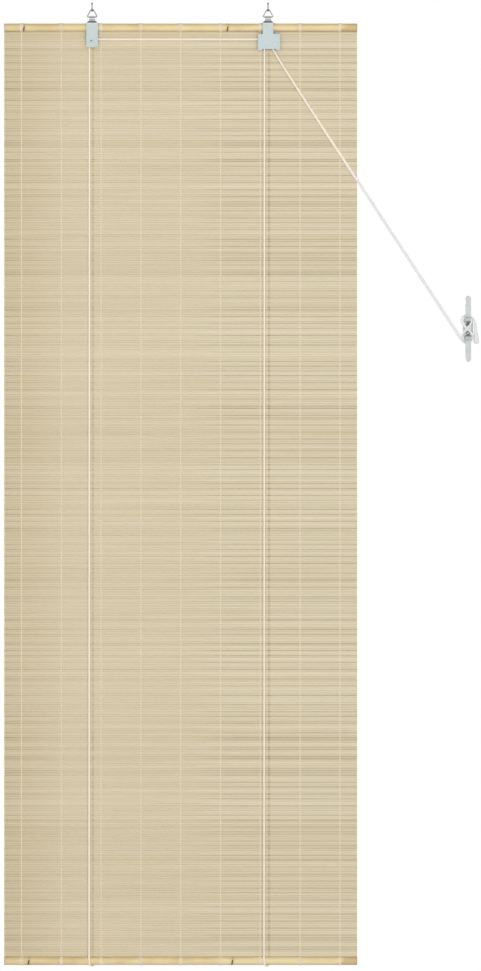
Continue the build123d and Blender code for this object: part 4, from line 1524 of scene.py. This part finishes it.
@dataclass
class Cords:
    """The two lift cords, their knots, and the two pull cords wound on the cleat."""

    radius: float = 0.0014
    pressed_radius: float = 0.0011
    press_middles: tuple[Point, Point] = (LAYOUT.left_axle, (0.1530, 0.0, -0.0557))
    press_span: Span = (0.011, 0.017)
    sides: int = 12
    lift_reference: Point = (0.5, -0.7, 0.5)
    lift_steps: int = 16
    pull_reference: Point = (0.3, 0.9, 0.3)
    pull_steps: int = 8
    knot_x: Span = (-0.1453, 0.1519)
    knot_y: float = -0.0045
    knot_z: float = -0.0292
    knot_foot: float = -0.0317
    knot_scale: float = 0.00056
    knot_radius: float = 0.00092
    knot_steps: int = 72
    knot_sides: int = 8
    back_y: float = -0.0064
    front_y: float = -0.0236
    turn_top: float = -1.6070
    turn_foot: float = -1.6239
    rear_groove: float = -0.01955
    front_groove: float = -0.02285
    run_z: float = -0.0492
    lock_x: float = 0.1432
    exit_x: float = 0.1562
    exit_z: float = -0.0625
    upper_loop: Span = (-0.0017, 0.0130)
    lower_loop: Span = (-0.0016, -0.0126)
    blend_start: Point = (0.300, -0.018, -0.285)
    blend_end: Point = (0.480, -0.0148, -0.556)

    def below(self, knot_x: float, front_x: float) -> list[Point]:
        """A lift cord's first points: from its knot down the back, below the bottom rail and to the front.

        Args:
            knot_x: The place of the knot and the run behind the mat.
            front_x: The place of the run in front of the mat.

        Returns:
            The points.
        """
        return [
            (knot_x, self.knot_y, self.knot_foot),
            (knot_x, self.back_y, self.turn_top),
            (knot_x, self.back_y, self.turn_foot),
            (front_x, self.front_y, self.turn_foot),
            (front_x, self.front_y, self.turn_top),
        ]

    def over(self, groove: float) -> list[Point]:
        """A lift cord's last points, over the lock pulley in a groove and down to the exit."""
        places = [(self.lock_x, self.run_z), (self.exit_x, self.run_z), (self.exit_x, self.exit_z)]
        return [(x, groove, z) for x, z in places]

    def left_lift(self) -> list[Point]:
        """The left lift cord's route, with points beside its turns."""
        places = ((-0.1540, -0.0562), (-0.1540, self.run_z), (-0.1470, self.run_z))
        pulley = [(x, self.rear_groove, z) for x, z in places]
        return self.below(self.knot_x[0], -0.1546) + pulley + self.over(self.rear_groove)

    def right_lift(self) -> list[Point]:
        """The right lift cord's route, with points beside its turns."""
        rise = [(self.lock_x, self.front_groove, -0.0622)]
        return self.below(self.knot_x[1], 0.1426) + rise + self.over(self.front_groove)

    def around(
        self,
        loop: Span,
        radius: Span,
        turn: Span,
        y: Span,
        count: int,
    ) -> list[Point]:
        """Control points round one loop of the figure of eight, set out so that the line meets the loop.

        Args:
            loop: The loop's middle, across and up from the cleat's.
            radius: The loop's radius where the cord comes in and where it leaves.
            turn: The turn in degrees where the cord comes in and where it leaves.
            y: The depth at each end.
            count: The number of points.

        Returns:
            The points.
        """
        step = math.radians(turn[1] - turn[0]) / count
        angle = math.radians(turn[0]) + step * (np.arange(count) + 0.5)
        out = np.linspace(*radius, count) / math.cos(step / 2)
        depth = np.linspace(*y, count)
        x = LAYOUT.cleat[0] + loop[0] + out * np.cos(angle)
        z = LAYOUT.cleat[2] + loop[1] + out * np.sin(angle)
        return [tuple(row) for row in np.stack([x, depth, z], -1).tolist()]

    def wound(self) -> list[Point]:
        """The left pull cord's route: lock, lower loop, across, upper loop, across, and under itself.

        Returns:
            The route's points.
        """
        y = self.rear_groove
        route = [(self.exit_x, y, self.exit_z), (self.exit_x, y, -0.0672), (0.4721, -0.0118, -0.5475)]
        route += self.around(self.lower_loop, (0.0098, 0.0084), (213.5, 399.8), (-0.0114, -0.0114), 8)
        route += self.around(self.upper_loop, (0.0077, 0.0077), (219.8, -39.8), (-0.0114, -0.0152), 10)
        route += self.around(self.lower_loop, (0.0090, 0.0086), (140.2, 258.0), (-0.0174, -0.0148), 5)
        return route

    def hanging(self) -> list[Point]:
        """The right pull cord's route: beside the left one round both loops, then out to the tassel.

        Returns:
            The route's points.
        """
        x, _, z = LAYOUT.cleat
        y = self.front_groove
        route = [(self.exit_x, y, self.exit_z), (0.1552, y, -0.0682), (0.4700, -0.0142, -0.5489)]
        route += self.around(self.lower_loop, (0.0124, 0.0098), (213.3, 399.8), (-0.0139, -0.0137), 8)
        route += self.around(self.upper_loop, (0.0103, 0.0100), (219.8, 48.0), (-0.0137, -0.0142), 7)
        route += [
            (x + 0.0082, -0.0166, z + 0.0176),
            (x + 0.0108, -0.0196, z + 0.0135),
            (x + 0.0117, -0.0205, z + 0.0098),
        ]
        return route

    def cord(self, name: str, line: Array, reference: Point) -> bpy.types.Object:
        """Carry a round section along a cord's line, pressed thinner in the boxes.

        The radius grows with the distance from the nearer box's middle, between the two ends of a span.

        Args:
            name: The piece's name.
            line: The cord's points.
            reference: A direction that the line never takes.

        Returns:
            The cord.
        """
        middles = np.array(self.press_middles)[:, None, [0, 2]]
        away = np.linalg.norm(line[None, :, [0, 2]] - middles, axis=-1).min(0)
        girth = np.interp(away, self.press_span, (self.pressed_radius, self.radius))[:, None]
        return make_piece(name, [tube_patch(line, girth, self.sides, reference)], 80.0)

    def knots(self) -> bpy.types.Object:
        """Tie each cord's end as a trefoil: sin t + 2 sin 2t, cos t - 2 cos 2t and -1.6 sin 3t.

        Returns:
            The knots.
        """
        turn = np.arange(self.knot_steps) * (2 * math.pi / self.knot_steps)
        x = np.sin(turn) + 2 * np.sin(2 * turn)
        y = np.cos(turn) - 2 * np.cos(2 * turn)
        line = np.stack([x, y, -1.6 * np.sin(3 * turn)], -1) * self.knot_scale
        places = np.array([(x, self.knot_y, self.knot_z) for x in self.knot_x])
        lines = line[None] + places[:, None]
        patch = tube_patch(lines, self.knot_radius, self.knot_sides, (0.0, 0.0, 1.0), closed=True)
        return make_piece("stopper_knots", [patch], 80.0)

    def build(
        self, yarn: bpy.types.Material, pull_yarn: bpy.types.Material, tassel: bpy.types.Object
    ) -> None:
        """Make the cords and knots and dress them.

        Args:
            yarn: The lift cords' finish.
            pull_yarn: The pull cords' finish.
            tassel: The piece that ends the right pull cord; not used.
        """
        runs = [
            ("left_lift_braid", self.left_lift(), ["left_lift_cord"], 3.498),
            ("right_lift_braid", self.right_lift(), ["right_lift_cord"], 3.200),
        ]
        for name, route, nodes, length in runs:
            line = smooth_line(name, route, self.lift_steps)
            piece = dress(self.cord(name, line, self.lift_reference), yarn, Body.BLIND, nodes)
            2 * self.radius
        dress(self.knots(), yarn, Body.BLIND, ["cord_knots"])
        pulls = [
            ("left_pull_braid", self.wound(), ["left_pull_cord", "cleat_cord_wrap"], 0.713, "object", []),
            (
                "right_pull_braid",
                self.hanging(),
                ["right_pull_cord", "tassel_cord"],
                0.693,
                "fitting",
                [tassel],
            ),
        ]
        for name, route, nodes, length, end, ends in pulls:
            line = smooth_line(name, route, self.pull_steps)
            piece = self.cord(name, line, self.pull_reference)
            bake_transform(piece, Body.BLIND.value, Body.WALL.value, self.blend_start, self.blend_end)
            dress(piece, pull_yarn, Body.WALL, nodes)
            2 * self.radius


@dataclass
class Studio:
    """The camera, the two suns, the white surroundings and the floor."""

    centre: Point = (0.10265, -0.016, -0.8076)
    distance: float = 24.0
    clip_end: float = 60.0
    frame_height: float = 1.6502
    sensor: float = 36.0
    ambient: float = 0.46
    suns: tuple[tuple[str, float, Point, float], ...] = (
        ("front_sun", 1.72, (0.05, -0.98, -0.07), 50.0),
        ("back_sun", 1.2, (0.0, 1.0, 0.0), 8.0),
    )
    floor_z: float = -1.75
    floor_glow: float = 0.6
    floor_x: Span = (-3.0, 3.0)
    floor_y: Span = (-3.0, 1.5)
    floor_paint: Colour = srgb(238, 238, 238)
    white: Colour = (1.0, 1.0, 1.0, 1.0)

    def camera(self) -> None:
        """Stand the camera far in front, so that the frame's height meets the photograph's."""
        data = bpy.data.cameras.new("photo_camera")
        data.sensor_width = self.sensor
        data.lens = self.sensor * self.distance / self.frame_height
        data.clip_end = self.clip_end
        camera = bpy.data.objects.new("photo_camera", data)
        camera.location = (self.centre[0], self.centre[1] - self.distance, self.centre[2])
        camera.rotation_euler = (math.pi / 2, 0.0, 0.0)
        bpy.context.scene.collection.objects.link(camera)
        bpy.context.scene.camera = camera

    def lamps(self) -> None:
        """Hang two soft suns, one low in front and a little to the right, and a weaker one behind."""
        for name, strength, place, spread in self.suns:
            data = bpy.data.lights.new(name, "SUN")
            data.energy = strength
            data.angle = math.radians(spread)
            lamp = bpy.data.objects.new(name, data)
            away = np.array(place) / np.linalg.norm(place)
            lamp.rotation_euler = (math.acos(away[2]), 0.0, math.atan2(away[0], -away[1]))
            bpy.context.scene.collection.objects.link(lamp)

    def surroundings(self) -> None:
        """Make the world white to the camera and to gloss, and a plain soft light to all else."""
        world = bpy.data.worlds.new("white_studio")
        world.use_nodes = True
        graph = Graph(world.node_tree)
        seen = graph.node("ShaderNodeLightPath", output="Is Camera Ray")
        gloss = graph.node("ShaderNodeLightPath", output="Is Glossy Ray")
        through = graph.node("ShaderNodeLightPath", output="Is Transmission Ray")
        share = graph.math("MINIMUM", seen + gloss + through, 1.0)
        light = share * (1.0 - self.ambient) + self.ambient
        shader = graph.node("ShaderNodeBackground", {}, {"Color": self.white, "Strength": light})
        graph.node("ShaderNodeOutputWorld", {}, {"Surface": shader})
        bpy.context.scene.world = world
        bpy.context.scene.view_settings.view_transform = "Standard"

    def floor(self) -> None:
        """Lay a pale floor below the blind: a flat grid that takes shadows and glows to the camera."""
        x, y = np.meshgrid(np.linspace(*self.floor_x, 3), np.linspace(*self.floor_y, 3), indexing="ij")
        points = np.stack([x, y, np.full_like(x, self.floor_z)], -1)
        patch = surface_patch(points, np.arange(3.0), np.arange(3.0), closed_v=False)
        floor = make_piece("pale_floor", [patch])
        material, graph = new_material("pale_floor")
        matt = graph.node("ShaderNodeBsdfDiffuse", {}, {"Color": self.floor_paint})
        white = graph.node("ShaderNodeEmission", {}, {"Color": self.white, "Strength": 1.0})
        seen = graph.node("ShaderNodeLightPath", output="Is Camera Ray")
        shader = graph.node("ShaderNodeMixShader", {}, {0: seen * self.floor_glow, 1: matt, 2: white})
        graph.node("ShaderNodeOutputMaterial", {}, {"Surface": shader})
        floor.data.materials.append(material)
        floor.visible_shadow = False

    def build(self) -> None:
        """Set up the whole studio."""
        self.camera()
        self.lamps()
        self.surroundings()
        self.floor()


def hardware() -> list[tuple[EasedPart, str]]:
    """The hardware parts that keep their CAD shapes, with the name of each one's finish."""
    return [
        (EasedPart("left_bracket", "painted_steel", Body.BLIND, 0.0002), "bracket"),
        (EasedPart("left_rail_clip", "painted_steel", Body.BLIND, 0.0002), "clip"),
        (EasedPart("lock_bracket", "painted_steel", Body.BLIND, 0.0002), "bracket"),
        (EasedPart("lock_rail_clip", "painted_steel", Body.BLIND, 0.0002), "clip"),
        (EasedPart("left_pulley", "pulley", Body.LEFT_PULLEY, 0.00015), "nylon"),
        (EasedPart("lock_pulley", "pulley", Body.LOCK_PULLEY, 0.00015), "nylon"),
        (EasedPart("lock_roller", "bright_steel", Body.ROLLER, 0.0001), "roller"),
        (EasedPart("lock_roller_pin", "bright_steel", Body.CARRIAGE, 0.00015), "pin"),
        (EasedPart("cleat", "cleat", Body.WALL, 0.0006, 3), "casting"),
    ]


def main() -> None:
    """Load the frame, build every sub-assembly in order and note the sizes."""
    logging.basicConfig(level=logging.INFO, format="%(message)s")
    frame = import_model()
    Studio().build()
    thread = {"twist": 0.0016, "strands": 2.0, "depth": 0.0001}
    cord = {"twist": 0.0034, "strands": 4.0}
    warp = YarnFinish("warp_yarn", srgb(243, 230, 207), srgb(228, 213, 187), **thread).material()
    lashing = YarnFinish("lashing_yarn", srgb(250, 238, 213), srgb(240, 226, 197), **thread).material()
    # the cords' cream stands in for warm light bounced from the bamboo onto white cord: painted bounce light
    cream = (srgb(255, 249, 235), srgb(252, 241, 224))
    braid = YarnFinish("lift_braid", *cream, **cord, depth=0.0001, sheen=0.5).material()
    white = srgb(240, 241, 242)
    pull_braid = YarnFinish("pull_braid", *cream, **cord, depth=0.00003, sheen=0.0, off_mat_white=white).material()
    grey = (srgb(244, 245, 242), srgb(220, 221, 218))
    strand = YarnFinish("tassel_strand", *grey, twist=0.02, strands=20.0, depth=0.00008).material()
    tassel = CleatFittings().build(strand)
    Cords().build(braid, pull_braid, tassel)
    SlatMat().build(warp)
    CaneRail(
        "head_cane",
        "head_rail",
        axis_z=-0.0292,
        nodes=(-0.265, 0.081),
        seed=3,
        radius=0.00672,
        edge_shades=(0.45, 0.42),
        tilt=0.3,
    ).build(lashing)
    CaneRail(
        "bottom_cane",
        "bottom_rail",
        axis_z=-1.6154,
        nodes=(-0.257, 0.089),
        seed=4,
        radius=0.0070,
        edge_shades=(0.14, 0.56),
        tilt=1.1,
    ).build(lashing)
    Hangers().build()
    AxleRivets().build()
    finishes = {
        "bracket": PaintedSteelFinish("bracket_enamel", True).material(),
        # the clips' dark colours are painted shade for the steel under the rail
        "clip": PaintedSteelFinish("clip_steel_shaded", False, srgb(146, 142, 133), srgb(122, 118, 108)).material(),
        "roller": SteelFinish("roller_steel", srgb(206, 210, 212), srgb(168, 172, 174)).material(),
        "pin": CastFinish("pin_enamel", srgb(200, 211, 212), srgb(190, 202, 203)).material(),
        "nylon": CastFinish("pulley_nylon", srgb(232, 228, 216), srgb(214, 208, 192)).material(),
        "casting": CastFinish(
            "cleat_casting", srgb(200, 204, 203), srgb(188, 193, 192), LAYOUT.cleat
        ).material(),
    }
    for part, finish in hardware():
        part.build(frame["nodes"], finishes[finish])


if __name__ == "__main__":
    main()
